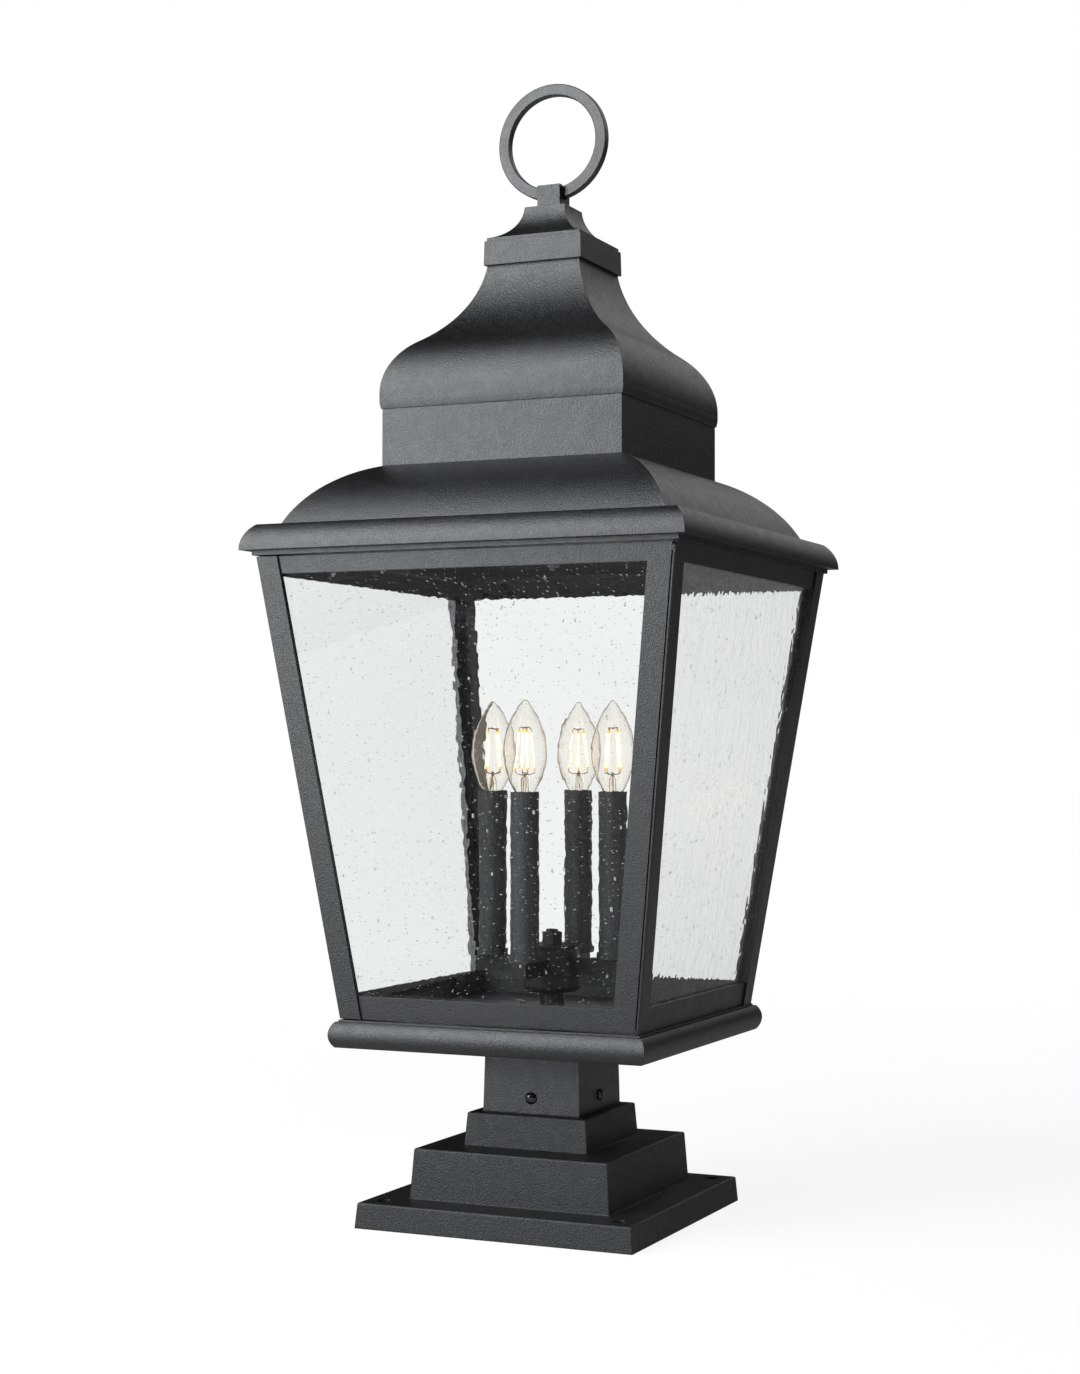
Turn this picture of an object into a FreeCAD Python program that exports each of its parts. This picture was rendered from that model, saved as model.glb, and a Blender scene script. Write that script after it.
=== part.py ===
import FreeCAD, Part
import math
import os
import Sketcher

# Pier mount light: a square lantern with a hinged glass door, four candle lamps, an ogee roof and a
# ring finial, standing on a stepped cast base that bolts to a masonry pier.
# Millimetres, +Z up, the door towards -Y. The origin is the middle of the base's foot, on the pier cap.

SIZES = {
    # Stepped base
    "plate_foot": 235.5,
    "plate_top": 232.4,
    "plate_rise": 20.2,
    "step_foot": 171.2,
    "step_top": 166.2,
    "step_rise": 39.8,
    "block_foot": 106.7,
    "block_top": 102.9,
    "block_rise": 26.5,
    "base_wall": 5.0,
    "base_edge": 1.6,
    "bolt_spacing": 200.0,
    "bolt_hole": 11.0,
    # Post stub, neck and its clamp screws
    "post_diameter": 76.2,
    "post_clearance": 0.1,
    "post_wall": 3.0,
    "post_reach": 52.0,
    "post_seat_depth": 26.0,
    "post_passage": 60.0,
    "neck_foot": 84.0,
    "neck_top": 80.8,
    "neck_clearance": 0.5,
    "neck_reach": 55.8,
    "flange_width": 124.0,
    "flange_thickness": 4.0,
    "clamp_screw_rise": 12.5,
    "clamp_screw_diameter": 6.0,
    "clamp_head_diameter": 9.6,
    "clamp_head_height": 2.4,
    "clamp_head_crown": 1.4,
    "screw_clearance": 0.1,
    "recess_width": 1.2,
    "recess_span": 5.0,
    "recess_depth": 1.3,
    # Lantern floor and its moulding
    "moulding_overhang": 2.3,
    "moulding_height": 20.0,
    "moulding_swell": 4.0,
    "moulding_lip": 9.4,
    "floor_lip": 1.0,
    "floor_thickness": 1.6,
    "floor_screw_spacing": 104.0,
    "floor_screw_diameter": 5.0,
    "floor_screw_length": 9.0,
    "floor_head_diameter": 9.0,
    "floor_head_height": 2.6,
    # Cage: leaning panel frames, cover angles and glass
    "cage_foot": 252.8,
    "cage_top": 351.0,
    "cage_height": 363.6,
    "cover_thickness": 1.75,
    "cover_leg": 18.4,
    "frame_thickness": 3.0,
    "stile_width": 18.5,
    "bottom_rail": 19.0,
    "top_rail": 14.5,
    "glass_thickness": 3.0,
    "glass_overlap": 8.0,
    "clip_width": 14.0,
    "clip_spacing": 150.0,
    "clip_thickness": 1.5,
    "clip_finger": 6.0,
    "clip_foot": 5.0,
    # Door, hinge and catch
    "door_floor_gap": 1.0,
    "door_top_gap": 1.0,
    "door_gap": 0.3,
    "hinge_barrel": 3.0,
    "hinge_groove": 1.0,
    "hinge_pin_diameter": 1.6,
    "hinge_play": 0.05,
    "hinge_end_gap": 0.4,
    "hinge_drop": 2.9,
    "top_knuckle": 5.0,
    "bottom_knuckle": 3.0,
    "hinge_leaf": 0.8,
    "catch_width": 5.2,
    "catch_depth": 5.0,
    "catch_height": 20.0,
    "catch_rise": 176.0,
    # Seat ring, eave and roof
    "seat_overhang": 2.5,
    "seat_thickness": 3.8,
    "seat_lip": 28.0,
    "roof_wall": 2.5,
    "eave_overhang": 7.45,
    "eave_shelf_inset": 10.05,
    "eave_height": 20.6,
    "eave_swell": 2.8,
    "dome_foot_inset": 13.4,
    "dome_top_inset": 0.1,
    "dome_height": 50.4,
    "dome_swell": 8.5,
    "box_width": 206.2,
    "box_height": 45.5,
    "throat_lip": 12.1,
    "ogee_overhang": 0.8,
    "ogee_waist_overhang": 1.0,
    "ogee_waist_rise": 8.7,
    "ogee_waist_swell": 0.4,
    "ogee_turn": 161.0,
    "ogee_turn_rise": 57.2,
    "ogee_shoulder_swell": 7.2,
    "ogee_hollow": 7.7,
    "ogee_top": 80.8,
    "ogee_height": 121.6,
    "collar_overhang": 2.45,
    "collar_taper": 0.45,
    "collar_height": 19.6,
    "cap_inset": 1.5,
    "cap_rim": 2.9,
    "cap_top": 35.7,
    "cap_height": 27.9,
    "cap_hollow": 6.0,
    # Ring finial and the rod that holds the roof
    "stem_width": 20.0,
    "stem_height": 18.8,
    "ring_outer": 95.8,
    "ring_inner": 77.2,
    "ring_thickness": 7.5,
    "ring_edge": 0.7,
    "ring_seat": 11.3,
    "ring_clearance": 0.05,
    "rod_diameter": 6.0,
    "rod_clearance": 0.3,
    "rod_grip_floor": 1.0,
    "rod_end": 3.0,
    "rod_nut_width": 10.0,
    "rod_nut_height": 5.0,
    "crossbar_rest": 15.0,
    "crossbar_width": 25.0,
    "crossbar_thickness": 4.0,
    # Candle cluster
    "standoff_diameter": 19.6,
    "standoff_height": 16.7,
    "nipple_diameter": 9.6,
    "nipple_bore": 6.4,
    "nipple_clearance": 0.1,
    "nipple_end": 2.0,
    "nipple_nut_width": 15.4,
    "nipple_nut_height": 10.2,
    "bell_diameter": 46.7,
    "bell_height": 14.4,
    "bell_round": 5.0,
    "hub_diameter": 43.6,
    "hub_height": 21.6,
    "arm_foot": 0.5,
    "arm_width": 12.5,
    "arm_height": 12.8,
    "arm_reach": 64.8,
    "washer_diameter": 48.6,
    "washer_thickness": 2.0,
    "candle_offset": 53.5,
    "cup_diameter": 25.6,
    "cup_height": 5.0,
    "cup_floor": 1.5,
    "sleeve_diameter": 22.8,
    "sleeve_wall": 1.3,
    "sleeve_length": 133.2,
    "sleeve_play": 0.1,
    "socket_diameter": 19.4,
    "socket_length": 44.0,
    "socket_depth": 24.0,
    "socket_drop": 7.0,
    "socket_stem_diameter": 8.0,
    # Lamp
    "lamp_base_diameter": 11.8,
    "lamp_base_length": 23.0,
    "lamp_base_play": 0.3,
    "lamp_base_rise": 1.0,
    "lamp_contact_diameter": 6.0,
    "lamp_contact_height": 1.5,
    "glass_neck": 12.0,
    "glass_belly": 35.4,
    "glass_belly_rise": 35.6,
    "glass_belly_swell": 3.0,
    "glass_shoulder_swell": 3.7,
    "glass_tip": 6.8,
    "glass_tip_rise": 78.2,
    "glass_length": 80.5,
    "glass_wall": 0.8,
    "filament_length": 32.0,
    "filament_rise": 23.3,
    "filament_diameter": 1.8,
    "filament_foot_radius": 7.9,
    "filament_top_radius": 4.7,
    "filament_stem_diameter": 5.0,
    "filament_stem_height": 19.0,
    "filament_wire_diameter": 0.8,
    # Shared
    "thread_clearance": 0.05,
    "overrun": 2.0,
}


class Length:
    """A size that carries both its value and its formula on the sheet."""

    def __init__(self, value, formula):
        self.value = value
        self.formula = formula

    def join(self, other, sign, result):
        return Length(result, f"({self.formula} {sign} {formula_of(other)})")

    def __add__(self, other):
        return self.join(other, "+", self.value + value_of(other))

    def __sub__(self, other):
        return self.join(other, "-", self.value - value_of(other))

    def __mul__(self, other):
        return self.join(other, "*", self.value * value_of(other))

    def __truediv__(self, other):
        return self.join(other, "/", self.value / value_of(other))

    def __neg__(self):
        return Length(-self.value, f"(0 - {self.formula})")

    def square_root(self):
        return Length(math.sqrt(self.value), f"sqrt({self.formula})")

    def arctangent(self):
        return Length(math.degrees(math.atan(self.value)), f"atan({self.formula})")


def value_of(size):
    return size.value if isinstance(size, Length) else size


def formula_of(size):
    return size.formula if isinstance(size, Length) else repr(size)


doc = FreeCAD.newDocument("pier_mount_light")
sheet = doc.addObject("Spreadsheet::Sheet", "Sizes")
for row, (alias, number) in enumerate(SIZES.items(), start=1):
    sheet.set(f"A{row}", alias)
    sheet.set(f"B{row}", str(number))
    sheet.setAlias(f"B{row}", alias)
doc.recompute()

size = {alias: Length(number, f"Sizes.{alias}") for alias, number in SIZES.items()}
nodes = []
QUARTER_TURN = 90
ALONG_X = FreeCAD.Vector(1, 0, 0)
ALONG_Y = FreeCAD.Vector(0, 1, 0)
ALONG_Z = FreeCAD.Vector(0, 0, 1)
FRONT_VIEW = FreeCAD.Rotation(ALONG_X, QUARTER_TURN)
SIDE_VIEW = FreeCAD.Rotation(ALONG_Z, QUARTER_TURN).multiply(FRONT_VIEW)
NONE = size["overrun"] * 0
overrun = size["overrun"]

# How far a rounded edge's arc bows out from its chord, over the arc's radius
QUARTER_SWELL = Length(1 - math.sqrt(0.5), "(1 - sqrt(0.5))")


# Helpers for bound objects

def new_object(kind, label):
    made = doc.addObject(kind, "Piece")
    made.Label = label
    return made


def bind(target, **properties):
    """Ties each named property of the object to the formula of its size."""
    for name, length in properties.items():
        setattr(target, name, value_of(length))
        target.setExpression(name, formula_of(length))


def place(target, x=NONE, y=NONE, z=NONE, turn=None):
    """Puts the object's own origin at x, y, z, after the given turn."""
    turn = turn or FreeCAD.Rotation()
    target.Placement = FreeCAD.Placement(FreeCAD.Vector(value_of(x), value_of(y), value_of(z)), turn)
    for name, length in (("x", x), ("y", y), ("z", z)):
        target.setExpression(f"Placement.Base.{name}", formula_of(length))
    return target


def node(target, name, turn=0):
    """Names the finished sub-part, turned about the vertical axis by whole quarter turns."""
    target.Label = name
    if turn:
        target.Placement = FreeCAD.Placement(FreeCAD.Vector(), turned(turn))
    nodes.append(target)
    return target


def box(label, x, y, z):
    """A box between the pair of limits given along each axis."""
    made = new_object("Part::Box", label)
    bind(made, Length=x[1] - x[0], Width=y[1] - y[0], Height=z[1] - z[0])
    return place(made, x[0], y[0], z[0])


def turned(quarters):
    """A turn about the vertical axis by whole quarter turns."""
    return FreeCAD.Rotation(ALONG_Z, quarters * QUARTER_TURN)


def corners(spacing):
    """The four corners of a square of the given spacing about the vertical axis."""
    half = spacing / 2
    return ((half, half), (-half, half), (-half, -half), (half, -half))


def square(label, width, low, high):
    """A square block about the vertical axis."""
    half = width / 2
    return box(label, (-half, half), (-half, half), (low, high))


def cylinder(label, diameter, low, high, x=NONE, y=NONE):
    made = new_object("Part::Cylinder", label)
    bind(made, Radius=diameter / 2, Height=high - low)
    return place(made, x, y, low)


def tube(label, outer, bore, low, high, x=NONE, y=NONE):
    """A round tube about a vertical axis."""
    outside = cylinder(f"{label}_outside", outer, low, high, x, y)
    hollow = cylinder(f"{label}_bore", bore, low - overrun, high + overrun, x, y)
    return cut(label, outside, hollow)


def leaning_block(label, x_low, y_low, x_high, y_high, low, high):
    """A block whose level foot and top are the two given rectangles."""
    made = new_object("Part::Wedge", label)
    bind(made, Xmin=x_low[0], Xmax=x_low[1], Zmin=-y_low[1], Zmax=-y_low[0], Ymin=low, Ymax=high)
    bind(made, X2min=x_high[0], X2max=x_high[1], Z2min=-y_high[1], Z2max=-y_high[0])
    made.Placement = FreeCAD.Placement(FreeCAD.Vector(), FRONT_VIEW)
    return made


def taper(label, foot, top, low, high):
    """A square block that narrows from foot to top."""
    near = (-foot / 2, foot / 2)
    far = (-top / 2, top / 2)
    return leaning_block(label, near, near, far, far, low, high)


def cut(label, base, *tools):
    """Takes every tool away from the base. The last cut carries the label."""
    for number, tool in enumerate(tools, start=1):
        made = new_object("Part::Cut", label if number == len(tools) else f"{label}_cut_{number}")
        made.Base = base
        made.Tool = tool
        base = made
    return base


def fuse(label, *pieces):
    made = new_object("Part::MultiFuse", label)
    made.Shapes = list(pieces)
    return made


def group(label, *pieces):
    """Alike, separate solids that share one sub-part."""
    made = new_object("Part::Compound", label)
    made.Links = list(pieces)
    return made


def copies(label, make_one, count=4):
    """Alike pieces at equal turns about the vertical axis, as one group."""
    made = []
    for index in range(count):
        piece = make_one(f"{label}_{index + 1}")
        piece.Placement = FreeCAD.Placement(FreeCAD.Vector(), turned(index))
        made.append(piece)
    return group(label, *made)


def draw_outline(sketch, knots):
    """Draws a closed outline through (across, up, swell) knots.

    Swell is how far the run from a knot to the next one bows out, to the left of its direction.
    It is negative where the run bows in and None where it is straight. Every knot and
    radius is held by a formula of the sheet.
    """
    count = len(knots)
    starts = []
    ends = []
    radii = []
    for index, (across, up, swell) in enumerate(knots):
        next_across, next_up, _ = knots[(index + 1) % count]
        first = FreeCAD.Vector(across.value, up.value, 0)
        last = FreeCAD.Vector(next_across.value, next_up.value, 0)
        if swell is None:
            sketch.addGeometry(Part.LineSegment(first, last), False)
            starts.append(1)
            ends.append(2)
            continue
        run_x = next_across - across
        run_y = next_up - up
        bow = swell if swell.value > 0 else -swell
        radius = ((run_x * run_x + run_y * run_y) / 4 + swell * swell) / (bow * 2)
        chord = last - first
        left = FreeCAD.Vector(-chord.y, chord.x, 0).normalize()
        side = 1 if swell.value > 0 else -1
        centre = (first + last) / 2 - left * side * (radius.value - bow.value)
        from_first = math.atan2(first.y - centre.y, first.x - centre.x)
        from_last = math.atan2(last.y - centre.y, last.x - centre.x)
        circle = Part.Circle(centre, ALONG_Z, radius.value)
        if side > 0:
            sketch.addGeometry(Part.ArcOfCircle(circle, from_last, from_first), False)
        else:
            sketch.addGeometry(Part.ArcOfCircle(circle, from_first, from_last), False)
        starts.append(2 if side > 0 else 1)
        ends.append(1 if side > 0 else 2)
        radii.append((index, radius))

    def hold(kind, *where, length):
        number = sketch.addConstraint(Sketcher.Constraint(kind, *where, length.value))
        sketch.setExpression(f"Constraints[{number}]", length.formula)

    for index, (across, up, _) in enumerate(knots):
        before = (index - 1) % count
        sketch.addConstraint(Sketcher.Constraint("Coincident", before, ends[before], index, starts[index]))
        hold("DistanceX", -1, 1, index, starts[index], length=across)
        hold("DistanceY", -1, 1, index, starts[index], length=up)
    for index, radius in radii:
        hold("Radius", index, length=radius)


def square_solid(label, half_outline):
    """A solid with four alike sides that meet in mitres.

    The half outline runs down the right side, from the top, in (half width, level, swell) knots.
    It is mirrored, run through along Y and along X, and the two runs keep what they share.
    """
    knots = [(across, up, swell) for across, up, swell in half_outline]
    mirrored = []
    for index in range(len(knots) - 1, -1, -1):
        across, up, _ = knots[index]
        swell = knots[index - 1][2] if index else None
        mirrored.append((-across, up, swell))
    widest = max(knots, key=lambda knot: knot[0].value)[0]
    runs = []
    for name, turn in (("front", FRONT_VIEW), ("side", SIDE_VIEW)):
        sketch = new_object("Sketcher::SketchObject", f"{label}_{name}_outline")
        draw_outline(sketch, knots + mirrored)
        sketch.Placement = FreeCAD.Placement(FreeCAD.Vector(), turn)
        run = new_object("Part::Extrusion", f"{label}_{name}_run")
        run.Base = sketch
        run.DirMode = "Normal"
        run.Solid = True
        run.Symmetric = True
        bind(run, LengthFwd=widest * 4)
        runs.append(run)
    made = new_object("Part::Common", label)
    made.Base = runs[0]
    made.Tool = runs[1]
    return made


def turned_body(label, knots, x=NONE, y=NONE, z=NONE, turn=None):
    """A body turned about its own vertical axis from a closed (radius, level, swell) outline."""
    body = doc.addObject("PartDesign::Body", "Body")
    body.Label = label
    sketch = body.newObject("Sketcher::SketchObject", "Outline")
    plane = next(found for found in body.Origin.OriginFeatures if found.Role == "XZ_Plane")
    sketch.AttachmentSupport = [(plane, "")]
    sketch.MapMode = "FlatFace"
    draw_outline(sketch, knots)
    revolution = body.newObject("PartDesign::Revolution", "Revolution")
    revolution.Profile = sketch
    revolution.ReferenceAxis = (sketch, ["V_Axis"])
    revolution.Angle = 360
    return place(body, x, y, z, turn)


def crown_swell(radius, drop):
    """The swell of a round crown that is level on the axis and drops by so much at its radius."""
    sphere = (radius * radius + drop * drop) / (drop * 2)
    half_chord = (radius * radius + drop * drop) / 4
    return sphere - (sphere * sphere - half_chord).square_root()


def hexagon_nut(label, width, bore, low, height):
    """A hexagon nut on the vertical axis, standing on the level low."""
    prism = new_object("Part::Prism", f"{label}_hexagon")
    prism.Polygon = 6
    bind(prism, Circumradius=width / Length(3.0, "3").square_root(), Height=height)
    place(prism, z=low)
    hole = cylinder(f"{label}_hole", bore, low - overrun, low + height + overrun)
    return cut(label, prism, hole)


# Levels of the stack, from the pier cap up

plate_level = size["plate_rise"]
step_level = plate_level + size["step_rise"]
block_level = step_level + size["block_rise"]
moulding_foot_level = block_level + size["neck_reach"]
moulding_level = moulding_foot_level + size["moulding_height"]
floor_level = moulding_level + size["floor_thickness"]
cage_level = floor_level + size["cage_height"]
seat_level = cage_level + size["seat_thickness"]
eave_level = seat_level + size["eave_height"]
dome_level = eave_level + size["dome_height"]
box_level = dome_level + size["box_height"]
ogee_level = box_level + size["ogee_height"]
collar_level = ogee_level + size["collar_height"]
cap_level = collar_level + size["cap_rim"] + size["cap_height"]
stem_level = cap_level + size["stem_height"]

# Widths that follow from the piece beside them

floor_width = size["cage_foot"] + size["floor_lip"] * 2
moulding_width = floor_width + size["moulding_overhang"] * 2
moulding_opening = floor_width - size["moulding_lip"] * 2
seat_width = size["cage_top"] + size["seat_overhang"] * 2
seat_opening = seat_width - size["seat_lip"] * 2
crossbar_length = seat_opening + size["crossbar_rest"] * 2
eave_width = seat_width + size["eave_overhang"] * 2
shelf_width = eave_width - size["eave_shelf_inset"] * 2
dome_foot = shelf_width - size["dome_foot_inset"] * 2
dome_top = size["box_width"] - size["dome_top_inset"] * 2
throat_width = size["box_width"] - size["throat_lip"] * 2
ogee_foot = size["box_width"] + size["ogee_overhang"] * 2
ogee_waist = ogee_foot + size["ogee_waist_overhang"] * 2
collar_foot = size["ogee_top"] + size["collar_overhang"] * 2
collar_top = collar_foot - size["collar_taper"] * 2
cap_foot = collar_top - size["cap_inset"] * 2


# Stepped base, post stub and neck

def pier_base():
    """The hollow stepped casting, with a seat for the post and four holes for the pier's bolts."""
    edge = size["base_edge"]
    swell = edge * QUARTER_SWELL
    wall = size["base_wall"]
    outside = square_solid("base_outside", [
        (size["block_top"] / 2 - edge, block_level, swell),
        (size["block_top"] / 2, block_level - edge, None),
        (size["block_foot"] / 2, step_level, None),
        (size["step_top"] / 2 - edge, step_level, swell),
        (size["step_top"] / 2, step_level - edge, None),
        (size["step_foot"] / 2, plate_level, None),
        (size["plate_top"] / 2 - edge, plate_level, swell),
        (size["plate_top"] / 2, plate_level - edge, None),
        (size["plate_foot"] / 2, NONE, None),
    ])
    plate_room = taper("base_plate_room", size["plate_foot"] - wall * 2, size["plate_top"] - wall * 2,
                       NONE, plate_level - wall)
    step_room = taper("base_step_room", size["step_foot"] - wall * 2, size["step_top"] - wall * 2,
                      plate_level - wall - overrun, step_level - wall)
    seat_level_inside = block_level - size["post_seat_depth"]
    seat = cylinder("base_post_seat", size["post_diameter"] + size["post_clearance"] * 2,
                    seat_level_inside, block_level + overrun)
    passage = cylinder("base_wire_passage", size["post_passage"], plate_level, block_level)
    bolts = []
    hole = size["bolt_hole"]
    for index, (x, y) in enumerate(corners(size["bolt_spacing"]), start=1):
        bolts.append(cylinder(f"base_bolt_hole_{index}", hole, NONE, plate_level + overrun, x, y))
    return node(cut("pier_base", outside, plate_room, step_room, seat, passage, *bolts), "pier_base")


def post_stub():
    """The round stub that stands in the base and carries the lantern's neck."""
    low = block_level - size["post_seat_depth"]
    high = block_level + size["post_reach"]
    bore = size["post_diameter"] - size["post_wall"] * 2
    return node(tube("post_stub", size["post_diameter"], bore, low, high), "post_stub")


clamp_level = block_level + size["clamp_screw_rise"]
neck_end_level = moulding_level - size["flange_thickness"]
neck_bore = size["post_diameter"] + size["neck_clearance"] * 2
floor_screw_hole = size["floor_screw_diameter"] + size["screw_clearance"] * 2
nipple_hole = size["nipple_diameter"] + size["nipple_clearance"] * 2


def neck_fitter():
    """The square neck that slips over the post, with a flange under the lantern floor."""
    tube = taper("neck_tube", size["neck_foot"], size["neck_top"], block_level, neck_end_level)
    flange = square("neck_flange", size["flange_width"], neck_end_level, moulding_level)
    outside = fuse("neck_outside", tube, flange)
    room = square("neck_room", neck_bore, block_level - overrun, moulding_level + overrun)
    holes = []
    for index in range(4):
        hole = new_object("Part::Cylinder", f"neck_screw_hole_{index + 1}")
        bind(hole, Radius=size["clamp_screw_diameter"] / 2 + size["screw_clearance"],
             Height=size["neck_foot"] / 2 + overrun)
        holes.append(place(hole, z=clamp_level, turn=turned(index).multiply(FRONT_VIEW)))
    for index, (x, y) in enumerate(corners(size["floor_screw_spacing"]), start=1):
        holes.append(cylinder(f"neck_floor_hole_{index}", floor_screw_hole,
                              neck_end_level - overrun, moulding_level + overrun, x, y))
    return node(cut("neck_fitter", outside, room, *holes), "neck_fitter")


def cross_recess(label, top):
    """Two crossed slots for a screwdriver, sunk from the level top."""
    span = size["recess_span"] / 2
    width = size["recess_width"] / 2
    low = top - size["recess_depth"]
    one = box(f"{label}_slot_1", (-span, span), (-width, width), (low, top + overrun))
    other = box(f"{label}_slot_2", (-width, width), (-span, span), (low, top + overrun))
    return one, other


def clamp_screw(label, length):
    """A pan-head screw of the given length under its head, modelled standing up."""
    crown = size["clamp_head_crown"]
    head_top = size["clamp_head_height"]
    body = turned_body(f"{label}_turned", [
        (NONE, -length, None),
        (NONE, head_top, crown_swell(size["clamp_head_diameter"] / 2, crown)),
        (size["clamp_head_diameter"] / 2, head_top - crown, None),
        (size["clamp_head_diameter"] / 2, NONE, None),
        (size["clamp_screw_diameter"] / 2, NONE, None),
        (size["clamp_screw_diameter"] / 2, -length, None),
    ])
    return cut(label, body, *cross_recess(label, head_top))


def clamp_screws():
    """One screw through the middle of each side of the neck, with its tip on the post stub."""
    made = []
    neck_lean = (size["neck_foot"] - size["neck_top"]) / 2 / (neck_end_level - block_level)
    seat = size["neck_foot"] / 2 - neck_lean * (size["clamp_screw_rise"] - size["clamp_head_diameter"] / 2)
    for index in range(4):
        screw = clamp_screw(f"clamp_screw_{index + 1}", seat - size["post_diameter"] / 2)
        facing = turned(index).multiply(FRONT_VIEW)
        side_x = (0, 1, 0, -1)[index]
        side_y = (-1, 0, 1, 0)[index]
        made.append(place(screw, seat * side_x, seat * side_y, clamp_level, facing))
    return node(group("clamp_screws", *made), "clamp_screws")


# Lantern floor

def bottom_moulding():
    """The bullnose frame under the lantern floor."""
    half = moulding_width / 2
    outside = square_solid("moulding_outside", [
        (half, moulding_level, size["moulding_swell"]),
        (half, moulding_foot_level, None),
    ])
    room = square("moulding_room", moulding_opening,
                  moulding_foot_level - overrun, moulding_level + overrun)
    return node(cut("bottom_moulding", outside, room), "bottom_moulding")


def floor_plate():
    """The sheet that closes the lantern below and carries the cage and the candle cluster."""
    sheet_metal = square("floor_sheet", floor_width, moulding_level, floor_level)
    low = moulding_level - overrun
    high = floor_level + overrun
    holes = [cylinder("floor_nipple_hole", nipple_hole, low, high)]
    for index, (x, y) in enumerate(corners(size["floor_screw_spacing"]), start=1):
        holes.append(cylinder(f"floor_screw_hole_{index}", floor_screw_hole, low, high, x, y))
    return node(cut("floor_plate", sheet_metal, *holes), "floor_plate")


def floor_screws():
    """Four screws that hold the neck's flange to the floor."""
    made = []
    head = size["floor_head_diameter"] / 2
    shank = size["floor_screw_diameter"] / 2
    height = size["floor_head_height"]
    for index, (x, y) in enumerate(corners(size["floor_screw_spacing"]), start=1):
        label = f"floor_screw_{index}"
        screw = turned_body(f"{label}_turned", [
            (NONE, -size["floor_screw_length"], None),
            (NONE, height, crown_swell(head, height / 2)),
            (head, height / 2, None),
            (head, NONE, None),
            (shank, NONE, None),
            (shank, -size["floor_screw_length"], None),
        ])
        screw = cut(label, screw, *cross_recess(label, height))
        made.append(place(screw, x, y, floor_level))
    return node(group("floor_screws", *made), "floor_screws")


# Cage. Depths run inward from the plane of a side, and ends run inward from that side's corners.

lean = (size["cage_top"] - size["cage_foot"]) / 2 / size["cage_height"]
cover = size["cover_thickness"]
frame_back = cover + size["frame_thickness"]
glass_back = frame_back + size["glass_thickness"]
hinge_edge = size["hinge_barrel"] + size["hinge_groove"]
window_low = floor_level + size["bottom_rail"]
window_high = cage_level - size["top_rail"]
door_low = floor_level + size["door_floor_gap"]
door_high = cage_level - size["door_top_gap"]
FRONT, RIGHT, BACK, LEFT = range(4)

# Each side's quarter turn, then for its left and right ends where its frame stops and its window starts
SIDE_ENDS = {
    "door": (FRONT, cover, size["cover_leg"], hinge_edge, hinge_edge + size["stile_width"]),
    "right": (RIGHT, frame_back + size["hinge_leaf"] + size["door_gap"], hinge_edge + size["stile_width"],
              frame_back, size["cover_leg"]),
    "back": (BACK, cover, size["cover_leg"], frame_back, size["cover_leg"]),
    "left": (LEFT, cover, size["cover_leg"], frame_back + size["door_gap"], size["cover_leg"]),
}


def cage_half(level):
    """Half the cage's width over its cover angles, at a level."""
    return size["cage_foot"] / 2 + (level - floor_level) * lean


def side_block(label, depths, ends, low, high):
    """A leaning block on the front side, between two depths and the given left and right ends."""
    limits = []
    for level in (low, high):
        half = cage_half(level)
        limits.append((ends[0] - half, half - ends[1]))
        limits.append((depths[0] - half, depths[1] - half))
    return leaning_block(label, *limits, low, high)


def corner_block(label, across, along, low, high):
    """A leaning block at the front left corner, between inward depths from the left and front planes."""
    limits = []
    for level in (low, high):
        half = cage_half(level)
        limits.append((across[0] - half, across[1] - half))
        limits.append((along[0] - half, along[1] - half))
    return leaning_block(label, *limits, low, high)


def hinge_block(label, across, along, low, high):
    """A leaning block at the front right corner, between inward depths from the right and front planes."""
    limits = []
    for level in (low, high):
        half = cage_half(level)
        limits.append((half - across[1], half - across[0]))
        limits.append((along[0] - half, along[1] - half))
    return leaning_block(label, *limits, low, high)


def panel_frame(side, low, high):
    """One flat frame of two rails and two stiles, around its window."""
    turn, left_end, left_edge, right_end, right_edge = SIDE_ENDS[side]
    name = f"{side}_frame"
    plate = side_block(f"{name}_plate", (cover, frame_back), (left_end, right_end), low, high)
    window = side_block(f"{name}_window", (cover - overrun, frame_back + overrun), (left_edge, right_edge),
                        window_low, window_high)
    return node(cut(name, plate, window), name, turn)


def glass_panel(side):
    """The seeded glass behind one frame."""
    turn, _, left_edge, _, right_edge = SIDE_ENDS[side]
    overlap = size["glass_overlap"]
    name = f"{side}_glass"
    panel = side_block(name, (frame_back, glass_back), (left_edge - overlap, right_edge - overlap),
                       window_low - overlap, window_high + overlap)
    panel.Placement = FreeCAD.Placement(FreeCAD.Vector(), turned(turn).multiply(FRONT_VIEW))
    return node(panel, name)


def glass_clip(label, across, at_top):
    """A bent tab on the back of a rail, with its finger over the glass."""
    overlap = size["glass_overlap"]
    finger = size["clip_finger"]
    foot = size["clip_foot"]
    if at_top:
        edge = window_high + overlap
        low, high = edge - finger, edge + foot
        room_low, room_high = low - overrun, edge
    else:
        edge = window_low - overlap
        low, high = edge - foot, edge + finger
        room_low, room_high = edge, high + overrun
    half = size["clip_width"] / 2
    depth = glass_back + size["clip_thickness"]

    def upright(part, depths, start, stop, margin):
        near, far = cage_half(start), cage_half(stop)
        sides = (across - half - margin, across + half + margin)
        return leaning_block(f"{label}_{part}", sides, (depths[0] - near, depths[1] - near),
                             sides, (depths[0] - far, depths[1] - far), start, stop)

    tab = upright("tab", (frame_back, depth), low, high, NONE)
    room = upright("room", (frame_back - overrun, glass_back), room_low, room_high, overrun)
    return cut(label, tab, room)


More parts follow.
